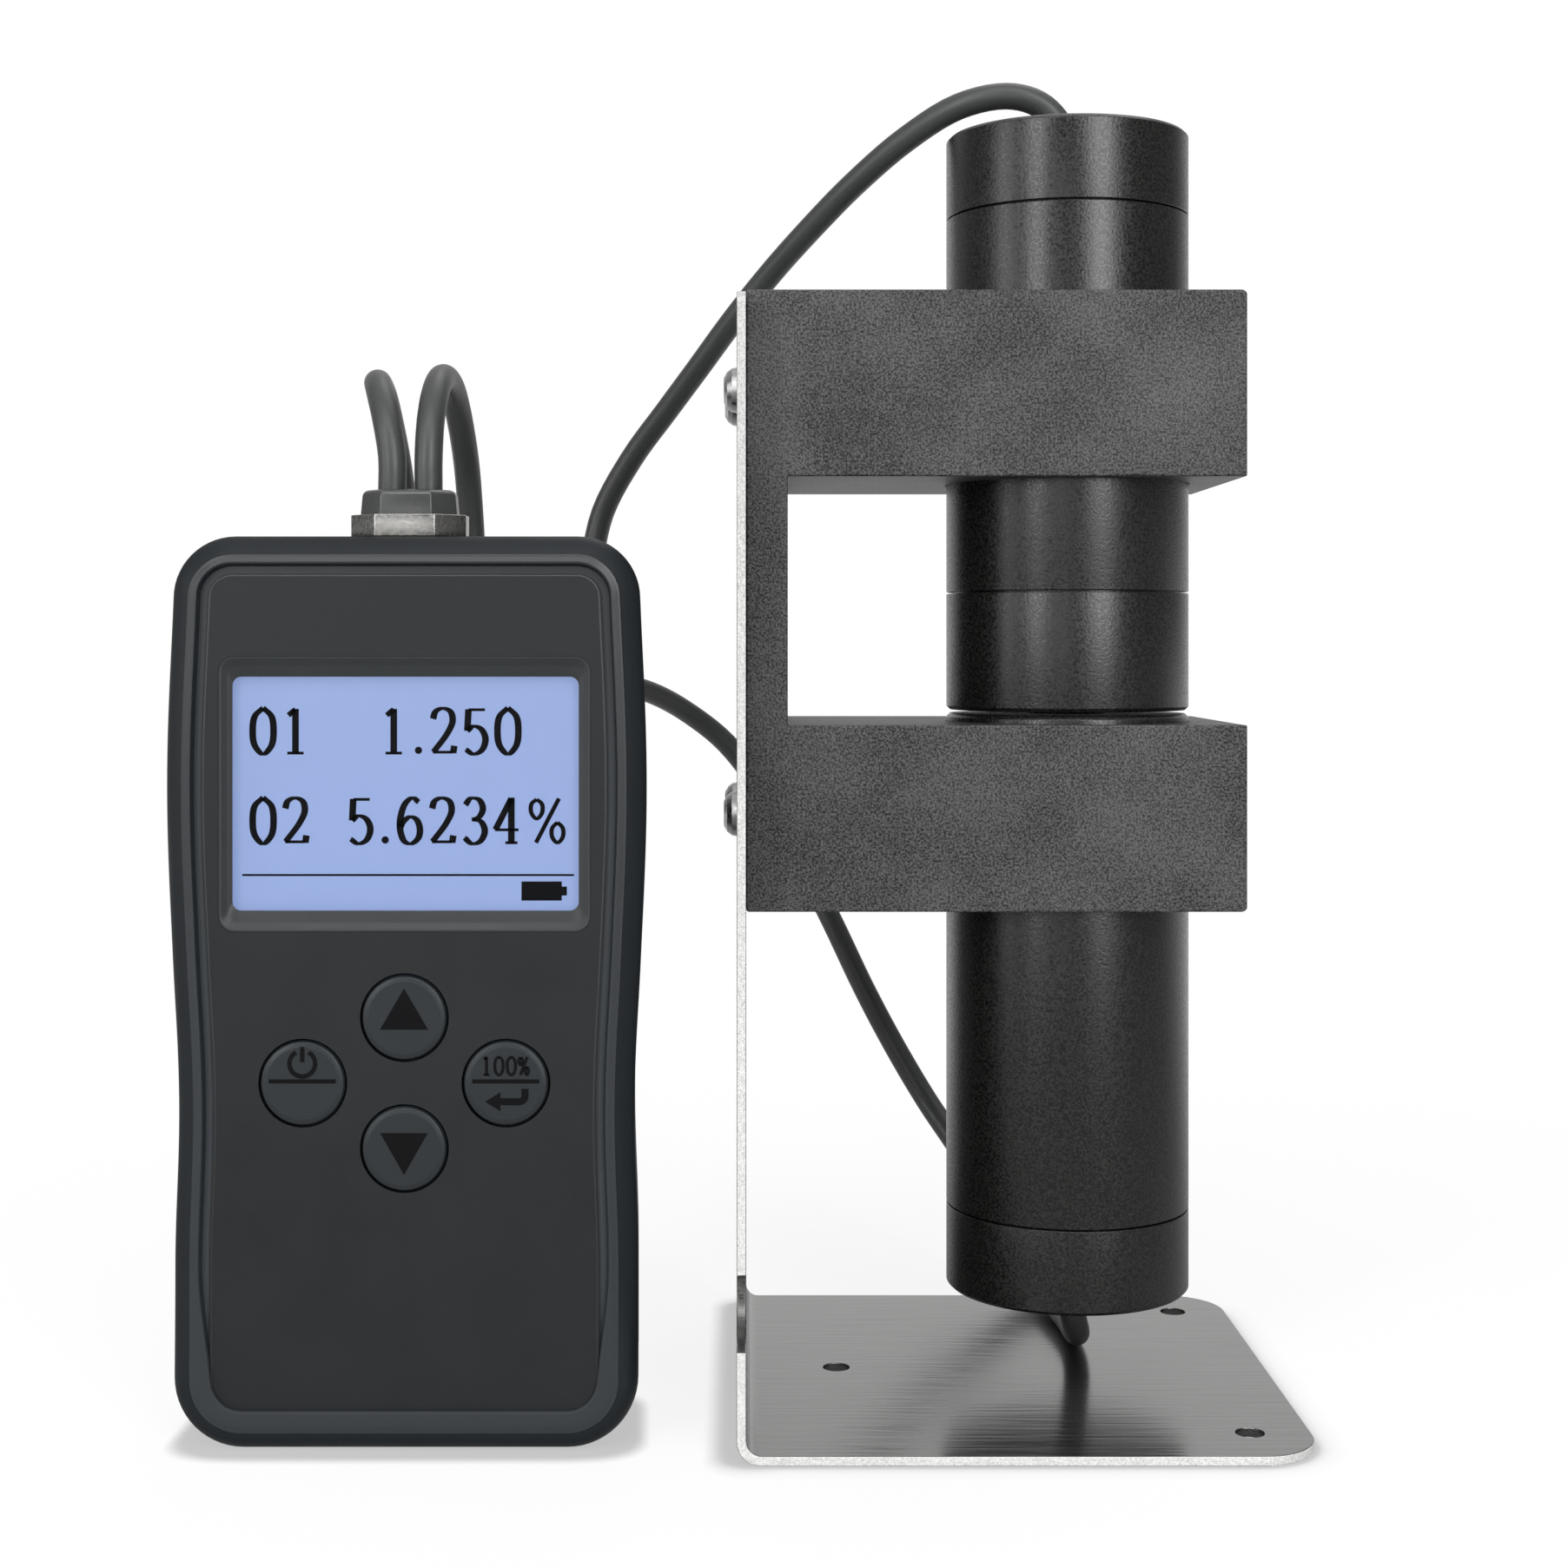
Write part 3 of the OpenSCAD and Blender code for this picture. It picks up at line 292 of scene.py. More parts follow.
def add_piece(name, shape, finish, body="root", stands_for=(), crease=38):
    """Makes one object of a shape, at the origin, with its faces outwards, and puts it on its body."""
    points, faces = shape
    mesh = bpy.data.meshes.new(name)
    mesh.from_pydata((points * MM).tolist(), [], [face for part in faces for face in part.tolist()])
    work = bmesh.new()
    work.from_mesh(mesh)
    bmesh.ops.remove_doubles(work, verts=work.verts, dist=1e-7)
    bmesh.ops.recalc_face_normals(work, faces=work.faces)
    work.to_mesh(mesh)
    work.free()
    return finish_piece(name, mesh, finish, body, stands_for, crease)


def finish_piece(name, mesh, finish, body, stands_for, crease):
    """Makes the object of a mesh, smooth up to edges of crease degrees, and puts it on its body."""
    mesh.polygons.foreach_set("use_smooth", np.ones(len(mesh.polygons), bool))
    mesh.set_sharp_from_angle(angle=math.radians(crease))
    mesh.materials.clear()
    mesh.materials.append(finish)
    piece = bpy.data.objects.new(name, mesh)
    bpy.context.scene.collection.objects.link(piece)
    if body:
        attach(piece, body)
    if stands_for:
        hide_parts(*stands_for)
    return piece


def eased_copy(node, name, width, finish):
    """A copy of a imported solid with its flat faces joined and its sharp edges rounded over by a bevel."""
    work = bmesh.new()
    work.from_mesh(NODES[node].data)
    bmesh.ops.remove_doubles(work, verts=work.verts, dist=1e-6)
    bmesh.ops.dissolve_limit(work, angle_limit=math.radians(0.5), verts=work.verts, edges=work.edges)
    mesh = bpy.data.meshes.new(name)
    work.to_mesh(mesh)
    work.free()
    normals = mesh.attributes.get("custom_normal")
    if normals:
        mesh.attributes.remove(normals)
    piece = finish_piece(name, mesh, finish, "root", [node], 30)
    bevel = piece.modifiers.new("Eased edges", "BEVEL")
    bevel.width = width * MM
    bevel.segments = 3
    bevel.limit_method = "ANGLE"
    bevel.angle_limit = math.radians(40)
    bevel.use_clamp_overlap = False
    bevel.harden_normals = True
    return piece


# Finishes. Every pattern reads object coordinates, in metres.


class Shading:
    """The shader nodes of a material or a world."""

    def __init__(self, owner, coordinates="Object"):
        owner.use_nodes = True
        self.nodes, self.links = owner.node_tree.nodes, owner.node_tree.links
        self.coordinates = self.nodes.new("ShaderNodeTexCoord").outputs[coordinates]

    def fill(self, node, inputs):
        """Gives a node a link or a value for each input that is named or counted."""
        for key, value in dict(inputs).items():
            if isinstance(value, bpy.types.NodeSocket):
                self.links.new(value, node.inputs[key])
            else:
                node.inputs[key].default_value = value

    def node(self, kind, inputs=(), **settings):
        """A new node with its settings and inputs."""
        made = self.nodes.new("ShaderNode" + kind)
        for key, value in settings.items():
            setattr(made, key, value)
        self.fill(made, inputs)
        return made

    def axis(self, name):
        """One of the three coordinates of each place."""
        return self.node("SeparateXYZ", {"Vector": self.coordinates}).outputs[name]

    def spread(self, factor, low, high, start=0.3, end=0.7):
        """The factor's range from start to end, drawn out from low to high."""
        values = {"Value": factor, "From Min": start, "From Max": end, "To Min": low, "To Max": high}
        return self.node("MapRange", values).outputs["Result"]

    def joined(self, operation, first, second):
        """Two factors added, multiplied or the like."""
        return self.node("Math", {0: first, 1: second}, operation=operation).outputs[0]

    def seen(self, *names):
        """1 for the kinds of ray that are named, and 0 for the others."""
        kinds = self.node("LightPath").outputs
        either = kinds[names[0]]
        for name in names[1:]:
            either = self.joined("MAXIMUM", either, kinds[name])
        return either

    def mixed(self, part, first, second):
        """The first shader, with the second one's part in it given by a factor."""
        return self.node("MixShader", {0: part, 1: first, 2: second}).outputs[0]


class Finish(Shading):
    """A material with one shader, to which layers of tone, sheen and relief are added."""

    def __init__(self, name, colour, roughness, metallic=0.0, specular=0.5):
        self.material = bpy.data.materials.new(name)
        super().__init__(self.material)
        self.shader = self.nodes["Principled BSDF"]
        self.fill(self.shader, {
            "Base Color": (*colour, 1), "Roughness": roughness, "Metallic": metallic,
            "Specular IOR Level": specular})
        self.colour = np.array(colour)
        self.normal = None

    def noise(self, size, detail, stretch=(1, 1, 1)):
        """Soft random tone whose grains are about size millimetres, drawn out by stretch."""
        scale = tuple(1 / (size * MM * s) for s in stretch)
        place = self.node("Mapping", {"Vector": self.coordinates, "Scale": scale}).outputs[0]
        return self.node("TexNoise", {"Vector": place, "Scale": 1.0, "Detail": detail}).outputs[0]

    def tint(self, factor, dark, light, target="Base Color"):
        """The target's colour from dark to light times the finish's own, by factor."""
        ramp = self.node("ValToRGB", {"Fac": factor})
        for element, share in zip(ramp.color_ramp.elements, (dark, light)):
            element.color = (*np.clip(self.colour * share, 0, 1), 1)
        self.fill(self.shader, {target: ramp.outputs["Color"]})
        return self

    def sheen_map(self, factor, low, high, *reach):
        """Roughness from low to high by factor."""
        self.fill(self.shader, {"Roughness": self.spread(factor, low, high, *reach)})
        return self

    def relief(self, factor, height, strength):
        """Raises the surface by height millimetres where factor is 1."""
        values = {"Height": factor, "Distance": height * MM, "Strength": strength}
        if self.normal:
            values["Normal"] = self.normal
        self.normal = self.node("Bump", values).outputs["Normal"]
        self.fill(self.shader, {"Normal": self.normal})
        return self


def brushed_sheet(name, colour, roughness):
    """Rolled and brushed sheet: long fine lines along the sheet, over faint clouds."""
    f = Finish(name, colour, roughness, 0.92)
    lines = f.noise(0.8, 4, (26, 1, 26))
    f.tint(f.spread(lines, 0, 1), 0.8, 1.14)
    f.sheen_map(lines, roughness - 0.05, roughness + 0.08)
    return f.relief(lines, 0.05, 0.7).relief(f.noise(6, 1), 0.02, 0.25).material


def cut_edge(name, colour):
    """The sawn and tumbled edge of the sheet: pale, rough and speckled, greyer up the upright."""
    f = Finish(name, colour, 0.5, 0.4)
    grains = f.noise(0.3, 3)
    height = f.spread(f.axis("Z"), 0, 0.45, 0.004, 0.15)
    f.tint(f.joined("SUBTRACT", f.spread(grains, 0.5, 1), height), 0.4, 1.15)
    return f.sheen_map(grains, 0.38, 0.6).relief(grains, 0.05, 0.6).material


def blasted_metal(name, colour, roughness=0.48):
    """Blasted and anodised metal: a fine orange peel with light and dark grains."""
    f = Finish(name, colour, roughness, 0.5, 0.4)
    grains = f.noise(0.36, 4)
    clouds = f.spread(f.noise(14, 3), -0.16, 0.16)
    f.tint(f.joined("ADD", f.spread(grains, 0, 1, 0.36, 0.66), clouds), 0.2, 2.15)
    f.sheen_map(grains, roughness - 0.12, roughness + 0.14)
    return f.relief(grains, 0.12, 0.7).relief(f.noise(9, 1), 0.03, 0.3).material


def turned_metal(name, colour, roughness=0.32):
    """Turned and anodised metal: close rings round the axis, with a few soft stains."""
    f = Finish(name, colour, roughness, 0.3, 0.75)
    rings = f.noise(0.1, 2, (200, 200, 1))
    grains = f.noise(0.4, 3)
    f.tint(f.spread(grains, 0, 1, 0.38, 0.66), 0.3, 1.9)
    f.sheen_map(grains, roughness - 0.13, roughness + 0.08)
    return f.relief(rings, 0.006, 0.5).relief(grains, 0.06, 0.8).material


def moulded(name, colour, roughness, grain=0.25, depth=0.02, specular=0.5):
    """Moulded plastic or rubber with a fine eroded grain and slow changes of sheen."""
    f = Finish(name, colour, roughness, 0, specular)
    grains = f.noise(grain, 3)
    f.tint(f.spread(grains, 0, 1), 0.86, 1.16)
    f.sheen_map(f.noise(11, 2), roughness - 0.05, roughness + 0.07)
    return f.relief(grains, depth, 0.6).material


def painted_light_trim(name, colour, low, high):
    """A moulded trim: dull at its low end and glossier towards the top. Its colour is painted light that
    changes with height: its own colour times low at the bottom and times high at the top.
    """
    f = Finish(name, colour, 0.4)
    # Painted light: the colour follows the height.
    height = f.spread(f.axis("Z"), 0, 1, 0.03, 0.16)
    f.tint(height, low, high).sheen_map(height, 0.7, 0.3, 0, 1)
    return f.relief(f.noise(0.2, 3), 0.004, 0.6).material


def plain_metal(name, colour, roughness=0.3):
    """Machined or plated metal with faint scratches."""
    f = Finish(name, colour, roughness, 1.0)
    scratches = f.noise(0.2, 3, (6, 1, 3))
    f.tint(f.spread(scratches, 0, 1), 0.8, 1.1)
    f.sheen_map(scratches, roughness - 0.08, roughness + 0.12)
    return f.relief(scratches, 0.006, 0.4).material


def clear_pane(name, colour, alpha):
    """A clear pane: mostly see-through, with a faint haze of dust in its gloss."""
    f = Finish(name, colour, 0.08)
    f.fill(f.shader, {"Alpha": alpha, "IOR": 1.5})
    return f.sheen_map(f.noise(3, 2), 0.05, 0.12).material


def opal_glass(name, colour):
    """Milky glass with soft clouds."""
    f = Finish(name, colour, 0.3)
    return f.tint(f.noise(2, 2), 0.92, 1.05).relief(f.noise(0.5, 2), 0.01, 0.3).material


def lit_display(name, colour, strength):
    """A lit liquid crystal cell: an even glow over fine cells, a little darker towards the top, which is
    painted shade under the frame's top edge.
    """
    f = Finish(name, colour, 0.3)
    f.fill(f.shader, {"Base Color": (*colour * 0.25, 1), "Emission Strength": strength})
    low, high = node_box("display_window")
    # Painted shade: the glow darkens a little towards the top.
    height = f.spread(f.axis("Z"), 0, 1, low[2] * MM, high[2] * MM)
    f.tint(height, np.array([0.98, 1.0, 1.04]), np.array([0.96, 0.97, 0.98]), "Emission Color")
    return f.relief(f.noise(0.3, 1), 0.004, 0.3).material


def circuit_lacquer(name, colour):
    """Green solder lacquer with faint tracks."""
    f = Finish(name, colour, 0.35)
    tracks = f.noise(1.1, 1, (4, 1, 1))
    return f.tint(f.spread(tracks, 0, 1, 0.46, 0.54), 0.75, 1.3).relief(tracks, 0.02, 0.4).material


def dress(finish, *nodes):
    """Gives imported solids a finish, in the slots that they have."""
    for node in nodes:
        materials = NODES[node].data.materials
        materials.clear()
        materials.append(finish)


def colour_property(name, description, *steps):
    return FloatVectorProperty(
        name=name, description=description, subtype="COLOR", size=3, min=0, max=1, default=tone(*steps))


def length_property(name, description, default, low, high):
    return FloatProperty(name=name, description=description, default=default, min=low, max=high)


class DensityMeterColours(PropertyGroup):
    """Colours of the density meter"""

    sheet: colour_property("Sheet", "Brushed sheet of the stand", 127, 127, 126)
    cut: colour_property("Cut edge", "Cut edges of the sheet", 216, 216, 215)
    bracket: colour_property("Bracket", "Blasted bracket", 60, 60, 60)
    probe: colour_property("Probes", "Turned probes", 22, 22, 21)
    screw: colour_property("Screws", "Plain steel screws", 170, 170, 170)
    case: colour_property("Case", "Case and rubber edge", 21, 25, 28)
    panel: colour_property("Panel", "Printed face panel", 26, 28, 30)
    bezel: colour_property("Display frame", "Frame round the display", 37, 40, 42)
    key: colour_property("Keys", "Round keys", 29, 34, 37)
    ink: colour_property("Ink", "Print on the keys and figures on the display", 10, 10, 12)
    glow: colour_property("Display", "Lit ground of the display", 153, 174, 224)
    cable: colour_property("Cables", "Cable jackets", 50, 52, 51)
    plug: colour_property("Plug", "Moulded plug", 51, 52, 52)
    collar: colour_property("Collar", "Plug's plated collar", 158, 157, 154)


class DensityMeterSizes(PropertyGroup):
    """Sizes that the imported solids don't give, in millimetres"""

    swell: length_property("Swell", "How much each side of the meter swells beside the display", 1.3, 0, 2.5)
    waist: length_property("Grip", "How much each side of the meter draws in", 0.6, 0, 1.5)
    waist_height: length_property("Grip height", "Height of the narrowest place", 52, 40, 60)
    side_draft: length_property("Draft", "How much each side narrows towards the back", 0.8, 0, 1.5)
    top_corner: length_property("Top corners", "Radius of the meter's top corners", 9.7, 9, 14)
    bottom_corner: length_property("Bottom corners", "Radius of its bottom corners", 11, 9.5, 14)
    fade_bottom: length_property("Fade", "Height up to which the front edge is plain", 7, 0, 20)
    fade_height: length_property("Fade height", "Height over which its two beads rise", 22, 5, 40)
    eased: length_property("Eased edges", "Rounding of the bracket's edges", 0.35, 0.05, 1)
    cable_diameter: length_property("Cable", "Outside diameter of the cables", 4.5, 3.5, 5)
    cable_sides: IntProperty(name="Cable sides", description="Sides of a cable", default=24, min=12, max=48)


def paint(name, share=1):
    """One of the panel's colours, times share."""
    return np.array(getattr(bpy.context.scene.density_meter_colours, name)) * share


def sizes():
    return bpy.context.scene.density_meter_sizes


# The two cables, from the plug to their probe, through given points

UPPER_ROUTE = [
    (-105.4, -27.5, 149.6), (-105.4, -27.5, 155), (-105.3, -25.7, 161), (-105.1, -20.5, 166.5),
    (-104.9, -12.6, 169.3), (-104.5, -4, 168), (-104.1, 3.7, 163), (-103.7, 9.5, 156),
    (-103.4, 13, 147), (-103, 15, 137), (-102, 18.5, 127), (-100, 24.5, 118.5),
    (-97, 32.5, 114), (-93.5, 41.5, 115), (-90, 49.5, 121), (-87, 54.5, 130),
    (-85.2, 56.8, 140), (-82.8, 56.8, 150.8), (-77, 53.4, 161), (-69.9, 47.8, 169.9),
    (-63.8, 41.8, 177.3), (-57, 35, 185.6), (-49.8, 27.8, 193.5), (-43.2, 21.2, 199.9),
    (-35.7, 13.8, 206.5), (-26.9, 6.8, 213), (-18.2, 2.2, 217.6), (-10.2, 0.2, 218.9),
    (-4.8, 0, 217.5), (-1.3, 0, 214), (0, 0, 209.6), (0, 0, 208.3),
]
LOWER_ROUTE = [
    (-111.2, -27.5, 149.6), (-111.2, -27.5, 155), (-112.4, -25.7, 161), (-114.2, -20.5, 166),
    (-115.8, -12.6, 168.4), (-116.1, -4, 167), (-115.9, 3.7, 162), (-115.4, 9.5, 155),
    (-114.9, 13, 146), (-114.5, 15, 136), (-113.8, 18, 126), (-112.5, 23, 116.5),
    (-110.5, 30.5, 109.5), (-107.5, 39.5, 106.5), (-103.5, 48.5, 107.5), (-98.8, 57, 111),
    (-93, 65, 114.7), (-86.5, 73, 116.8), (-80, 81, 116.6), (-73.6, 87.8, 114.5),
    (-66.5, 93.6, 110.2), (-59, 96, 104), (-51, 95, 93.5), (-43.5, 91.5, 80),
    (-37, 87, 67.5), (-30.5, 83.4, 54), (-24.5, 80.6, 42.8), (-18.1, 76.8, 32.2),
    (-11.5, 69, 23), (-6.3, 59, 14.5), (-2.3, 48.5, 8), (0.5, 37.5, 4.6),
    (2, 28, 3.9), (2.9, 20, 3.9), (3.1, 13, 4.1), (2.6, 6.2, 5.8),
    (1.3, 1.6, 10), (0.2, 0, 15.2), (0, 0, 17.6), (0, 0, 19.1),
]


class DENSITY_OT_stage(Operator):
    """Camera, soft studio light and a plain white floor"""

    bl_idname = "density_meter.stage"
    bl_label = "Studio"

    def lamp(self, name, place, width, height, power):
        """A soft lamp turned towards the middle of the object."""
        data = bpy.data.lights.new(name, "AREA")
        data.shape = "RECTANGLE"
        data.size, data.size_y, data.energy = width, height, power
        lamp = bpy.data.objects.new(name, data)
        away = unit(np.array(place) - LAMP_AIM)
        lamp.location = place
        lamp.rotation_euler = (math.acos(away[2]), 0, math.atan2(away[1], away[0]) + math.pi / 2)
        bpy.context.scene.collection.objects.link(lamp)

    def camera(self, scene):
        """A level camera where the photograph was taken from."""
        camera = bpy.data.objects.new("Camera", bpy.data.cameras.new("Camera"))
        camera.data.sensor_width = 36
        camera.data.lens = 36 * PHOTO_FOCAL / PHOTO_SIDE
        camera.data.shift_x = (PHOTO_SIDE / 2 - PHOTO_AIM[0]) / PHOTO_SIDE
        camera.data.shift_y = (PHOTO_AIM[1] - PHOTO_SIDE / 2) / PHOTO_SIDE
        camera.data.clip_start = 0.01
        camera.location = (-0.0548, -0.4012, 0.1255)
        camera.rotation_euler = (math.pi / 2, 0, 0)
        scene.collection.objects.link(camera)
        scene.camera = camera

    def world(self, scene):
        """Plain soft light all round. Seen directly or through glass it is white, and in gloss it is the
        white backdrop behind the object and a dim room in front of it."""
        scene.world = bpy.data.worlds.new("Studio")
        sky = Shading(scene.world, "Generated")
        plain = (1, 1, 1, 1)
        lit = sky.nodes["Background"]
        sky.fill(lit, {"Color": plain, "Strength": 0.47})
        behind = sky.spread(sky.axis("Y"), 0.2, 0.9, 0.45, 0.92)
        above = sky.spread(sky.axis("Z"), 0, 0.9, 0.5, 0.85)
        gloss = sky.node("Background", {"Color": plain, "Strength": sky.joined("MAXIMUM", behind, above)})
        white = sky.node("Background", {"Color": plain})
        mix = sky.mixed(sky.seen("Is Glossy Ray"), lit.outputs[0], gloss.outputs[0])
        mix = sky.mixed(sky.seen("Is Camera Ray", "Is Transmission Ray"), mix, white.outputs[0])
        sky.fill(sky.nodes["World Output"], {"Surface": mix})

    def floor(self, scene):
        """A white floor that keeps the object's shadow, and turns plain white away from it. Close to the
        object it is darkened further by a painted contact shadow, read from ambient occlusion. Gloss shows it
        dimmer in front of the object, where the room begins."""
        f = Finish("Floor", (0.95, 0.95, 0.95), 0.9, 0, 0.1)
        distance = f.node("VectorMath", {0: f.coordinates}, operation="LENGTH").outputs["Value"]
        part = f.seen("Is Camera Ray", "Is Glossy Ray", "Is Transmission Ray")
        part = f.joined("MULTIPLY", part, f.spread(distance, 0.84, 1, 0.10, 0.30))
        mix = f.mixed(part, f.shader.outputs[0], f.node("Emission").outputs[0])
        # Painted contact shadow: ambient occlusion darkens the floor close to the object, for every kind of
        # ray.
        painted_contact_shadow = f.node("AmbientOcclusion", {"Distance": 0.006}).outputs["AO"]
        painted_contact_shadow = f.spread(painted_contact_shadow, 0.46, 0, 0.74, 0.985)
        front = f.spread(f.axis("Y"), 0.65, 0, 0.05, 0.35)
        front = f.joined("MULTIPLY", f.seen("Is Glossy Ray"), front)
        dim = f.node("Emission", {"Strength": 0.1}).outputs[0]
        mix = f.mixed(f.joined("MAXIMUM", front, painted_contact_shadow), mix, dim)
        f.fill(f.nodes["Material Output"], {"Surface": mix})
        mesh = bpy.data.meshes.new("floor")
        mesh.from_pydata([(-6, -6, 0), (6, -6, 0), (6, 6, 0), (-6, 6, 0)], [], [(0, 1, 2, 3)])
        mesh.materials.append(f.material)
        floor = bpy.data.objects.new("floor", mesh)
        scene.collection.objects.link(floor)

    def execute(self, context):
        scene = context.scene
        scene.view_settings.view_transform = "Standard"
        self.camera(scene)
        self.world(scene)
        self.floor(scene)
        self.lamp("Left", (-0.72, -0.98, 0.54), 0.24, 0.9, 6)
        self.lamp("Right", (0.50, -1.09, 0.54), 0.46, 0.9, 10)
        self.lamp("Side", (-1.25, -0.50, 0.40), 0.3, 0.8, 3.4)
        self.lamp("Above", (-0.1, -0.72, 1.10), 0.7, 0.36, 3.8)
        self.lamp("Front", (-0.29, -1.30, 0.24), 0.3, 0.26, 0.7)
        self.lamp("Back", (0.2, 0.6, 1.4), 0.8, 0.6, 3)
        return {"FINISHED"}


class DENSITY_OT_cables(Operator):
    """The two cables and the stepped plug that both leave"""

    bl_idname = "density_meter.cables"
    bl_label = "Cables and plug"

    def step(self, width, depth, cut, bottom, top, ease, taper=0.0):
        """One eight-sided step with eased corners, drawn in towards its top by taper. With an inset, the
        cut corners shrink by 0.59 of it, which is 2 less the root of 2."""

        def ring(inset, height):
            x, y, c = width / 2 - inset, depth / 2 - inset, cut - 0.59 * inset
            corners = [(c - x, -y), (x - c, -y), (x, c - y), (x, y - c),
                       (x - c, y), (c - x, y), (-x, y - c), (-x, c - y)]
            return level(soften(corners, 0.3, 3), height)

        side = soften([(0.6, bottom), (0, bottom), (taper, top), (taper + 1.6, top)], ease, 4, False)
        return loft([ring(inset, height) for inset, height in side])

    def execute(self, context):
        x, y, _ = sum(node_box("cable_socket")) / 2
        collar_finish = plain_metal("collar", paint("collar"), 0.26)
        collar = self.step(18.2, 13, 4.4, CASE_TOP, CASE_TOP + 3.6, (0, 0.25, 0.2, 0))
        collar = add_piece("plug_collar", moved(collar, (x, y, 0)), collar_finish, crease=24)
        low, high = CASE_TOP - 10, CASE_TOP + 1
        plug = combine(
            self.step(15.3, 10.8, 3.6, CASE_TOP + 3.5, CASE_TOP + 7.6, (0, 0.1, 1.1, 0), 0.35),
            turned([(1, high), (4.5, high), (4.5, low), (1, low)], 48))
        plug_finish = moulded("plug", paint("plug"), 0.3, 0.3, 0.012, 0.7)
        plug = moved(plug, (x, y, 0))
        plug = add_piece("plug", plug, plug_finish, "root", ["cable_plug"], 24)
        jacket = moulded("cable_jacket", paint("cable"), 0.42, 0.35, 0.02, 0.5)
        diameter = sizes().cable_diameter
        for side, route in (("upper", UPPER_ROUTE), ("lower", LOWER_ROUTE)):
            line = smooth_line(route[::-1], 5)
            shape = tube(line, diameter / 2, sizes().cable_sides)
            upper = side == "upper"
            body, node = None if upper else "root", side + "_probe_cable"
            cable = add_piece(side + "_cable", shape, jacket, body, [node], 60)
            if upper:
                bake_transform(cable)
        return {"FINISHED"}


class DENSITY_OT_stand(Operator):
    """The bent sheet stand and the bracket"""

    bl_idname = "density_meter.stand"
    bl_label = "Stand and bracket"

    def execute(self, context):
        """Each face of the sheet takes one of three finishes by its place and by how much it faces out of
        the sheet: 0 is brushed, 1 a cut edge and 2 painted shade, a dark finish on the wall of a hole and on
        the edge along a shoulder's fillet, where shade falls."""
        sheet = brushed_sheet("brushed_sheet", paint("sheet"), 0.19)
        stand = eased_copy("stand_plate", "stand_sheet", 0.18, sheet)
        stand.data.materials.append(cut_edge("cut_edge", paint("cut")))
        # Painted shade: a dark finish, 0.55 of the sheet's colour, for the hole walls and the fillet edges.
        stand.data.materials.append(plain_metal("painted_shade_wall", paint("sheet", 0.55), 0.3))
        faces = stand.data.polygons
        normals, centres = np.empty((2, len(faces), 3))
        faces.foreach_get("normal", normals.reshape(-1))
        faces.foreach_get("center", centres.reshape(-1))
        foot_top, bend_end, hole_r = 0.0022, -0.051, 0.0026
        flat, lying = centres[:, 2] < foot_top, centres[:, 0] > bend_end
        surface = np.where(flat & lying, np.abs(normals[:, 2]), np.abs(normals[:, 0]))
        surface = np.where(flat ^ lying, np.hypot(normals[:, 0], normals[:, 2]), surface)
        # Faces in the holes and along the shoulders' fillets take the painted shade.
        holes = np.array([(0.0242, 0.0333), (0.0242, -0.0333), (-0.0394, 0)])
        bored = (np.linalg.norm(centres[:, None, :2] - holes, axis=-1) < hole_r).any(axis=1)
        side, low, high = 0.0319, 0.0171, 0.0262
        fillet = (np.abs(centres[:, 1]) > side) & (centres[:, 2] > low) & (centres[:, 2] < high)
        kind = np.where(bored | fillet, 2, 1) * (surface < 0.6)
        faces.foreach_set("material_index", kind.astype(np.int32))
        bracket = blasted_metal("blasted_black", paint("bracket"))
        eased_copy("probe_bracket", "bracket_block", sizes().eased, bracket)
        return {"FINISHED"}


class DENSITY_OT_screws(Operator):
    """All screws"""

    bl_idname = "density_meter.screws"
    bl_label = "Screws"

    def execute(self, context):
        steel = plain_metal("screw_steel", paint("screw"))
        dress(steel, "bracket_screws", "clamp_screws", "board_screws", "case_screws")
        return {"FINISHED"}


class DENSITY_OT_probes(Operator):
    """The barrels, noses and caps of the two probes"""

    bl_idname = "density_meter.probes"
    bl_label = "Probes"

    def execute(self, context):
        metal = turned_metal("anodised_black", paint("probe"))
        (_, spigot), (seam, cap), (start, end) = (
            np.array(node_box("upper_" + part))[:, 2] - UPPER_FACE for part in ("nose", "barrel", "cap"))
        r = node_box("upper_barrel")[1][0]
        nose = soften([
            (6.5, 0), (r - 0.6, 0), (r, 0.6), (r, seam - 0.1), (r - 0.1, seam), (18.2, seam),
            (18.2, spigot), (15.5, spigot), (15.5, 6), (11, 6), (11, 1.6), (6.5, 1.6),
        ], [0.1, 0.25, 0.25, 0.04, 0.04, 0, 0.2, 0.2, 0.2, 0, 0, 0])
        barrel = soften([
            (18.3, seam), (19.3, seam), (19.3, seam + 0.28), (r - 0.12, seam + 0.28), (r, seam + 0.4),
            (r, cap - 0.4), (r - 0.12, cap - 0.28), (19.3, cap - 0.28), (19.3, cap), (18.3, cap),
        ], [0, 0, 0, 0.05, 0.05, 0.05, 0.05, 0, 0, 0])
        cap_section = soften([
            (15.5, start), (18.2, start), (18.2, cap), (r - 0.1, cap), (r, cap + 0.1), (r, end - 0.6),
            (r - 0.6, end), (4.4, end), (4.4, end - 3.2), (3.25, end - 3.2), (3.25, end - 6), (15.5, end - 6),
        ], [0.2, 0.2, 0, 0.04, 0.04, 0.25, 0.25, 0.25, 0.2, 0.1, 0, 0.2])
        for side, face, body in (("upper", UPPER_FACE, "upper_probe"), ("lower", LOWER_FACE, "root")):
            for part, section in (("nose", nose), ("barrel", barrel), ("cap", cap_section)):
                shape = moved(turned(section, 144), (0, 0, face), side == "lower")
                add_piece(f"{side}_{part}_shell", shape, metal, body, [f"{side}_{part}"], 30)
        return {"FINISHED"}


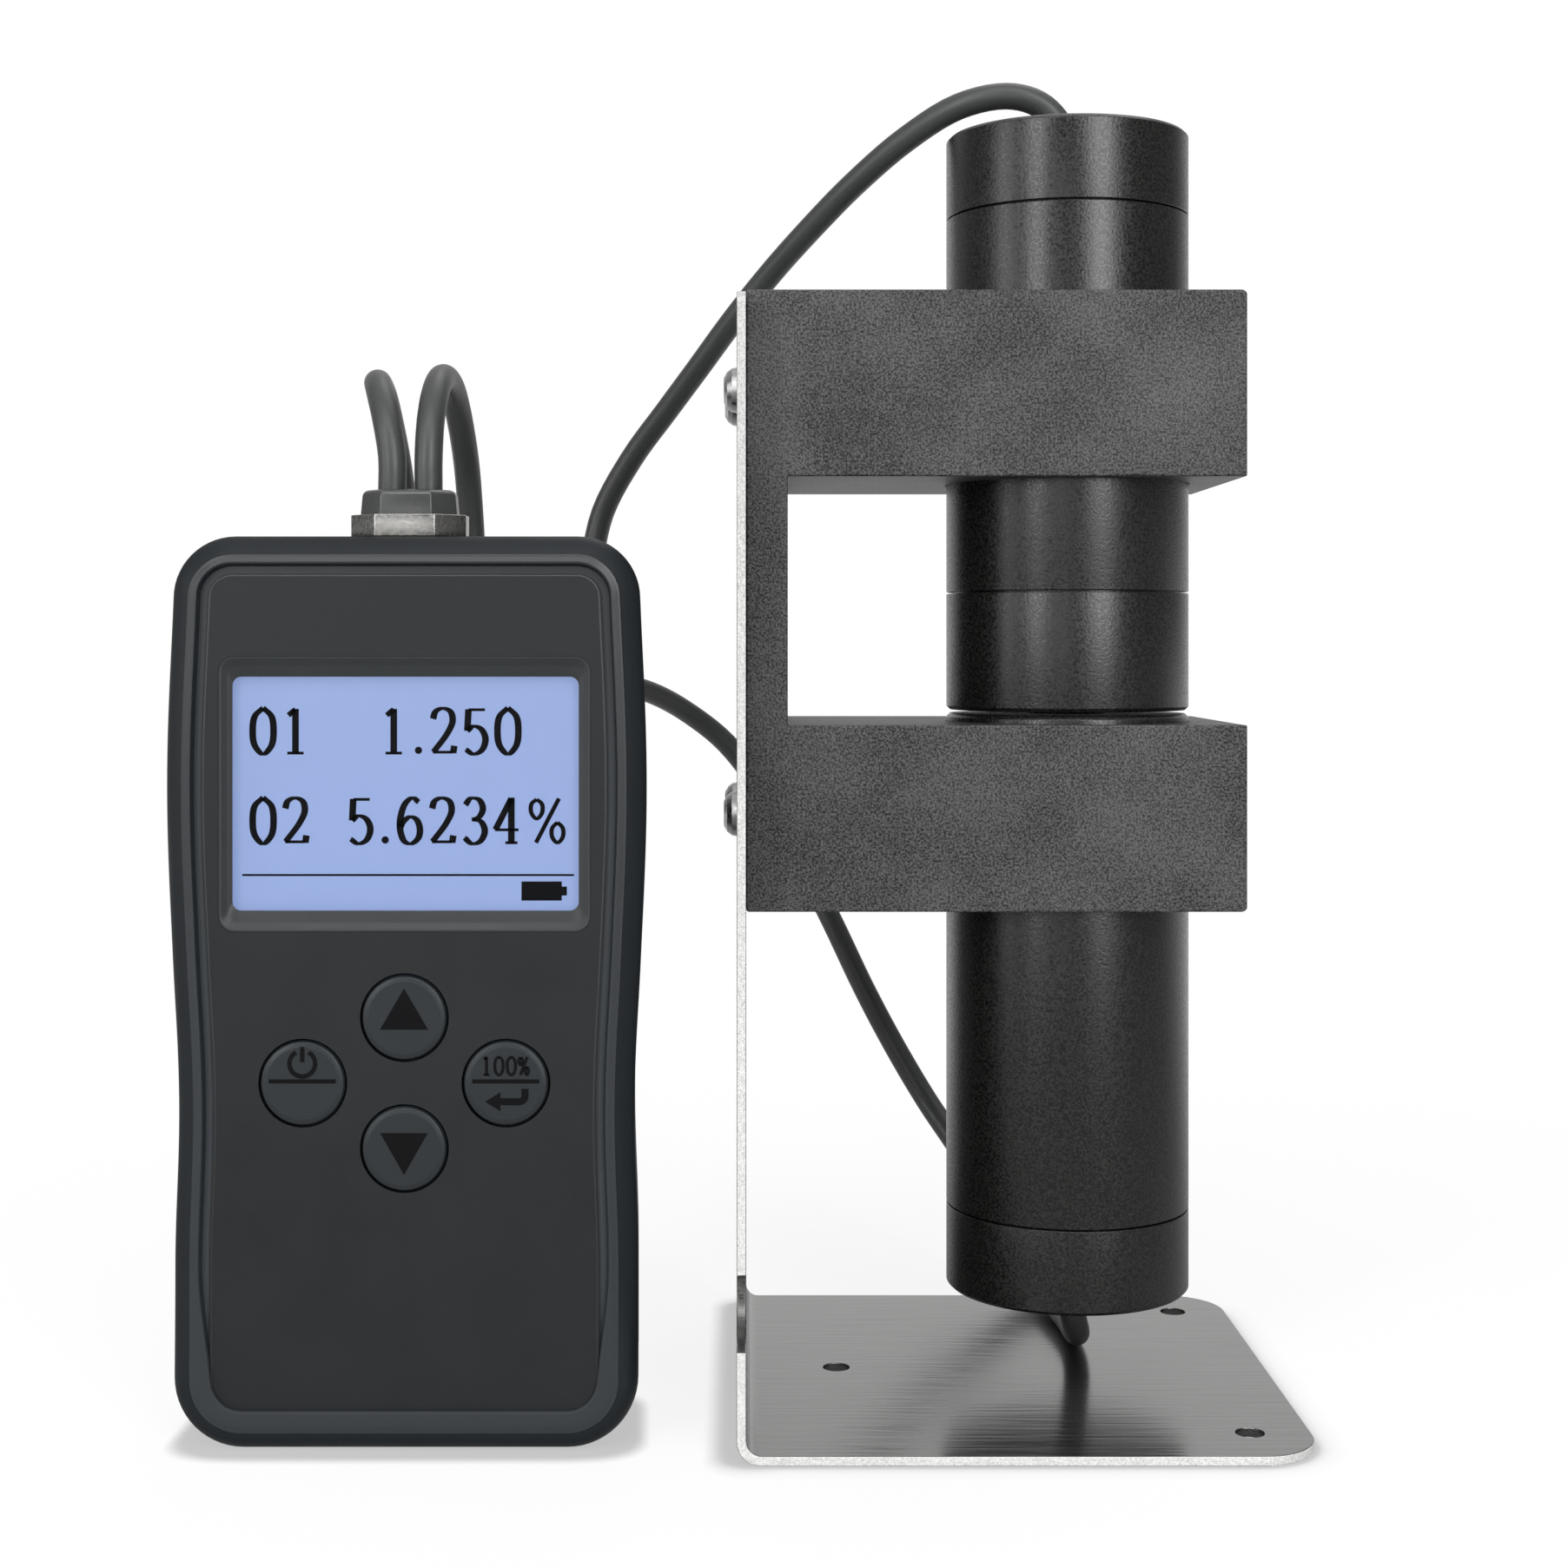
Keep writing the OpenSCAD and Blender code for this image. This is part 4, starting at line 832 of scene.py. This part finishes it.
class DENSITY_OT_optics(Operator):
    """Windows, stray light tubes, boards, rings and glands inside the probes"""

    bl_idname = "density_meter.optics"
    bl_label = "Inside of the probes"

    def execute(self, context):
        black = turned_metal("matt_black", paint("probe", 0.7), 0.6)
        board = circuit_lacquer("green_lacquer", tone(26, 82, 46))
        rubber = moulded("gland_rubber", tone(38, 40, 40), 0.6, 0.3, 0.02)
        for side in ("upper", "lower"):
            dress(black, f"{side}_window_ring", f"{side}_baffle", f"{side}_board_ring")
        dress(rubber, "upper_gland", "lower_gland")
        dress(clear_pane("window_glass", tone(221, 230, 234), 0.3), "upper_window")
        dress(opal_glass("opal", tone(239, 239, 234)), "lower_window")
        dress(board, "receiver_board", "light_board", "circuit_board")
        return {"FINISHED"}


class DENSITY_OT_case(Operator):
    """The rubber edge, the front and rear halves and the battery door of the meter"""

    bl_idname = "density_meter.case"
    bl_label = "Meter case"

    def sections(self, hidden, *fronts):
        """Closed sections: a smooth front line each, then the hidden corners. Nothing is before the face."""
        return [np.maximum(np.vstack([smooth_line(front, 4), hidden]), 0) for front in fronts]

    def execute(self, context):
        rubber = moulded("case_rubber", paint("case"), 0.48, 0.2, 0.012, 0.22)
        wall = [(0, 12), (0, 21), (0.15, 23.4), (0.7, 25.1), (1.5, 25.95), (2.3, 26)]
        beaded = [(2.88, 0.62), (2.2, 1.05), (1.4, 1.65), (0.7, 2.3), (0.2, 3), (0, 3.8)]
        plain = [(2.88, 0.3), (2.2, 0.42), (1.4, 0.75), (0.7, 1.4), (0.2, 2.4), (0, 3.6)]
        edge, low_edge = self.sections([(2.9, 25.4), (2.9, 1.0)], beaded + wall, plain + wall)
        shape = case_moulding(edge, low_edge)
        add_piece("rubber_edge", shape, rubber, "root", ["grip_bumper"], 50)
        hidden = [(7.2, 1.6), (7.2, 3.4), (4.9, 3.6), (4.9, 12.9), (2.95, 12.9), (2.95, 1.2)]
        beaded = [(2.92, 0.9), (2.92, 0.5), (3.3, 0.33), (3.8, 0.12), (4.15, 0), (4.4, 0.12), (4.55, 0.6),
                  (4.62, 1.2), (4.8, 1.6)]
        plain = [(2.92, 0.9), (2.92, 0.3), (3.4, 0.2), (4.1, 0.12), (5.2, 0.13), (6.25, 0.2), (6.37, 0.3),
                 (6.4, 0.7), (6.4, 1.6)]
        rim, low_rim = self.sections(hidden, beaded, plain)
        # Painted light on the front rim: lighter towards its low end, 1.7 times the case colour at the bottom
        # and 1.2 times at the top.
        front = painted_light_trim("case_front", paint("case"), 1.7, 1.2)
        shape = case_moulding(rim, low_rim)
        add_piece("front_rim", shape, front, "root", ["front_cover"], 50)
        seal = case_moulding([(4.62, 1.62), (4.62, 1.48), (5.97, 1.48), (5.97, 1.62)])
        # Painted light on the seal in the groove: 3 times the case colour at the bottom, where the groove's
        # shade is painted out, and 1.2 times at the top.
        shade = painted_light_trim("panel_seal", paint("case"), 3, 1.2)
        add_piece("panel_seal", seal, shade)
        dress(moulded("case_back", paint("case"), 0.5, 0.35, 0.03, 0.5), "rear_cover", "battery_door")
        return {"FINISHED"}


class DENSITY_OT_face(Operator):
    """The face panel and the sunk frame of the display"""

    bl_idname = "density_meter.face"
    bl_label = "Face panel"

    def execute(self, context):
        dress(moulded("printed_film", paint("panel"), 0.45, 0.15, 0.006, 0.28), "face_panel")
        # Painted highlight on the panel's edge bead: 2.5 times lighter at the top than at the bottom, as if
        # lit from above.
        trim = painted_light_trim("panel_trim", paint("panel"), 1, 2.5)
        bead = soften([(5.95, 1.6), (5.95, 1.0), (6.25, 0.84), (6.4, 0.9), (6.4, 1.6)], 0.06, 2)
        add_piece("panel_edge", case_moulding(bead), trim, crease=60)
        bezel = moulded("display_frame", paint("bezel"), 0.42, 0.25, 0.01, 0.35)
        low, high = node_box("display_bezel")
        w, h = high[0] - low[0] - 2, high[2] - low[2] - 2
        glass_w, glass_h = w - 3.9, h - 6.4
        rings = [
            (w, h, 2.5, 3.6), (w, h, 2.5, 1.0), (w - 0.2, h - 0.2, 2.4, 0.9), (w - 0.6, h - 0.6, 2.3, 0.9),
            (w - 1.0, h - 1.0, 2.1, 1.0), (w - 2.2, h - 2.6, 1.8, 1.6), (w - 2.7, h - 3.2, 1.7, 1.74),
            (glass_w + 0.4, glass_h + 0.4, 1.5, 2.0), (glass_w, glass_h, 1.4, 2.12),
            (glass_w, glass_h, 1.4, 2.38), (glass_w + 2, glass_h + 2, 1.6, 2.4),
            (glass_w + 2, glass_h + 2, 1.6, 3.6),
        ]
        rings = [level(round_rect(*size), depth) for *size, depth in rings]
        shape = on_face(loft(rings, ring_shaped=True), 0, DISPLAY_Z)
        add_piece("display_frame", shape, bezel, "root", ["display_bezel"], 28)
        return {"FINISHED"}


# Figures as pen strokes in a cell one wide and one high. Two points are a straight line, more are a curve.

FIGURES = {
    "0": [[(0.5, 1.0), (0.2, 0.82), (0.12, 0.5), (0.2, 0.18), (0.5, 0.0), (0.8, 0.18), (0.88, 0.5),
           (0.8, 0.82), (0.5, 1.0)]],
    "1": [[(0.5, 0.02), (0.5, 0.98)], [(0.5, 0.97), (0.24, 0.84)], [(0.2, 0.02), (0.8, 0.02)]],
    "2": [[(0.13, 0.76), (0.22, 0.92), (0.48, 0.99), (0.76, 0.92), (0.84, 0.72), (0.66, 0.46), (0.14, 0.04)],
          [(0.12, 0.04), (0.86, 0.04)], [(0.86, 0.02), (0.9, 0.18)]],
    "3": [[(0.16, 0.84), (0.36, 0.98), (0.66, 0.95), (0.8, 0.76), (0.66, 0.58), (0.4, 0.52)],
          [(0.4, 0.52), (0.72, 0.48), (0.87, 0.27), (0.7, 0.05), (0.4, 0.0), (0.13, 0.13)]],
    "4": [[(0.66, 0.0), (0.66, 1.0)], [(0.66, 0.98), (0.08, 0.3)], [(0.06, 0.3), (0.92, 0.3)],
          [(0.44, 0.02), (0.88, 0.02)]],
    "5": [[(0.24, 0.96), (0.84, 0.96)], [(0.24, 0.97), (0.2, 0.5)],
          [(0.2, 0.5), (0.42, 0.6), (0.7, 0.54), (0.86, 0.32), (0.72, 0.08), (0.42, 0.0), (0.14, 0.1)]],
    "6": [[(0.82, 0.9), (0.6, 0.99), (0.34, 0.88), (0.16, 0.58), (0.15, 0.28), (0.3, 0.05), (0.54, 0.0),
           (0.8, 0.12), (0.86, 0.32), (0.74, 0.52), (0.5, 0.58), (0.24, 0.46), (0.16, 0.36)]],
    ".": [],
    "%": [[(0.82, 0.98), (0.2, 0.02)],
          [(0.22, 0.96), (0.08, 0.86), (0.08, 0.66), (0.22, 0.54), (0.36, 0.66), (0.36, 0.86), (0.22, 0.96)],
          [(0.78, 0.46), (0.64, 0.34), (0.64, 0.14), (0.78, 0.02), (0.92, 0.14), (0.92, 0.34), (0.78, 0.46)]],
}


def written(text, left, base, cell, height, broad, fine, pitch=0.0):
    """The strokes of a number, its first cell starting at left and the next pitch further than a cell."""
    strokes, x = [], left
    for sign in text:
        wide = cell * (0.45 if sign == "." else 1)
        if sign == ".":
            turn = np.linspace(0, 2 * math.pi, 20, endpoint=False)
            dot = np.column_stack([np.cos(turn), np.sin(turn) + 1]) * broad * 0.55
            strokes.append(plate(dot + (x + wide / 2, base)))
        for points in FIGURES[sign]:
            line = np.array(points) * (cell, height) + (x - (cell - wide) / 2, base)
            strokes.append(pen_stroke(line, broad, fine, len(points) > 2))
        x += wide + pitch
    return combine(*strokes)


class DENSITY_OT_display(Operator):
    """The lit display, its plain figures, ruled line and battery sign, and the window before it"""

    bl_idname = "density_meter.display"
    bl_label = "Display"

    def execute(self, context):
        dress(lit_display("lit_display", paint("glow"), 0.66), "display_module")
        dress(clear_pane("display_pane", tone(30, 32, 36), 0.04), "display_window")
        ink = moulded("display_ink", paint("ink"), 0.7, 0.1, 0.002, 0.05)
        upper, lower = 6.1, -7.9
        rows = (("01", -24.6, upper), ("02", -24.6, lower), ("1.250", -4.2, upper), ("5.6234", -9.4, lower))
        shapes = [
            *(written(text, left, base, 4.3, 7.2, 1.05, 0.45, 0.75) for text, left, base in rows),
            written("%", 19.0, lower, 5.8, 7.2, 0.7, 0.5),
            ruled([(-25.7, -12.8), (26.1, -12.8)], 0.32),
            plate([(17.9, -16.8), (24.2, -16.8), (24.2, -13.8), (17.9, -13.8)]),
            plate([(24.2, -16.0), (25.0, -16.0), (25.0, -14.6), (24.2, -14.6)]),
        ]
        shape = on_face(combine(*shapes), 0, DISPLAY_Z, depth=3.61)
        add_piece("display_figures", shape, ink, crease=20)
        return {"FINISHED"}


class DENSITY_OT_keys(Operator):
    """The four round keys with their signs"""

    bl_idname = "density_meter.keys"
    bl_label = "Keys"

    def signs(self):
        """What is printed on each key, in (x, up) from its middle."""
        gap = 0.16
        turn = np.linspace(0, 2 * math.pi * (1 - gap), 26) + math.pi * 0.5 + 2 * math.pi * gap / 2
        ring = np.column_stack([2.0 * np.cos(turn), 3.1 + 2.0 * np.sin(turn)])
        rule = ruled([(-5.2, 0.35), (5.2, 0.35)], 0.66)
        arrow_line = [(3.0, -0.8), (3.0, -2.8), (-0.8, -2.8)]
        return {
            "button_power": combine(ruled(ring, 0.72), rule, ruled([(0, 3.3), (0, 5.7)], 0.72)),
            "button_up": plate([(-3.75, -1.8), (3.75, -1.8), (0, 4.6)]),
            "button_down": plate([(-3.7, 2.5), (3.7, 2.5), (0, -4.0)]),
            "button_enter": combine(
                written("100%", -3.8, 1.3, 1.68, 2.9, 0.5, 0.34, 0.24), rule,
                ruled(soften(arrow_line, 0.9, 6, False), 1.1),
                plate([(-3.2, -2.8), (-0.8, -4.3), (-0.8, -1.3)])),
        }

    def execute(self, context):
        cap = moulded("key_plastic", paint("key"), 0.4, 0.25, 0.01, 0.35)
        ink = moulded("key_ink", paint("ink"), 0.7, 0.1, 0.002, 0.09)
        for node, sign in self.signs().items():
            low, high = node_box(node)
            x, z = (low[0] + high[0]) / 2 - CASE_X, (low[2] + high[2]) / 2
            front, back = low[1] - FRONT_Y, high[1] - FRONT_Y
            r = (high[0] - low[0]) / 2 - 1
            section = soften([
                (0.02, front + 0.02), (r - 1.0, front), (r - 0.25, front + 0.16), (r, front + 0.8),
                (r, back - 1), (r + 1, back - 1), (r + 1, back), (0.02, back),
            ], [0, 0.8, 0.3, 0.5, 0, 0.1, 0.1, 0], 4, False)
            body = node.removeprefix("button_") + "_key"
            button = on_face(turned(section, 96, ring_shaped=False), x, z)
            add_piece(node + "_cap", button, cap, body, [node], 40)
            sign = on_face(sign, x, z, depth=front - 0.015)
            add_piece(node + "_sign", sign, ink, body, crease=20)
        return {"FINISHED"}


class DENSITY_OT_inside(Operator):
    """Switches, cells and contacts inside the meter, and the cable socket"""

    bl_idname = "density_meter.inside"
    bl_label = "Inside of the meter"

    def execute(self, context):
        dress(moulded("black_plastic", tone(42, 42, 43), 0.45), "key_switches", "cable_socket")
        dress(moulded("cell_sleeve", tone(184, 154, 72), 0.3, 2.0, 0.005), "battery_cells")
        dress(plain_metal("contact_plate", tone(191, 184, 160), 0.25), "battery_contacts")
        return {"FINISHED"}


class VIEW3D_PT_density_meter(Panel):
    """Density meter in the sidebar of the 3D view"""

    bl_label = "Density Meter"
    bl_space_type = "VIEW_3D"
    bl_region_type = "UI"
    bl_category = "Density Meter"

    def draw(self, context):
        for group in (context.scene.density_meter_sizes, context.scene.density_meter_colours):
            box = self.layout.box()
            for name in group.bl_rna.properties.keys():
                if name not in ("rna_type", "name"):
                    box.prop(group, name)
        for operator in OPERATORS:
            self.layout.operator(operator.bl_idname)


OPERATORS = (
    DENSITY_OT_stage, DENSITY_OT_cables, DENSITY_OT_stand, DENSITY_OT_screws, DENSITY_OT_probes,
    DENSITY_OT_optics, DENSITY_OT_case, DENSITY_OT_face, DENSITY_OT_display, DENSITY_OT_keys,
    DENSITY_OT_inside,
)
CLASSES = (DensityMeterColours, DensityMeterSizes, *OPERATORS, VIEW3D_PT_density_meter)


def register():
    for cls in CLASSES:
        bpy.utils.register_class(cls)
    bpy.types.Scene.density_meter_colours = PointerProperty(type=DensityMeterColours)
    bpy.types.Scene.density_meter_sizes = PointerProperty(type=DensityMeterSizes)


def unregister():
    del bpy.types.Scene.density_meter_colours
    del bpy.types.Scene.density_meter_sizes
    for cls in reversed(CLASSES):
        bpy.utils.unregister_class(cls)


def main():
    register()
    bpy.ops.density_meter.stage()
    bpy.ops.density_meter.cables()
    bpy.ops.density_meter.stand()
    bpy.ops.density_meter.screws()
    bpy.ops.density_meter.probes()
    bpy.ops.density_meter.optics()
    bpy.ops.density_meter.case()
    bpy.ops.density_meter.face()
    bpy.ops.density_meter.display()
    bpy.ops.density_meter.keys()
    bpy.ops.density_meter.inside()


if __name__ == "__main__":
    main()
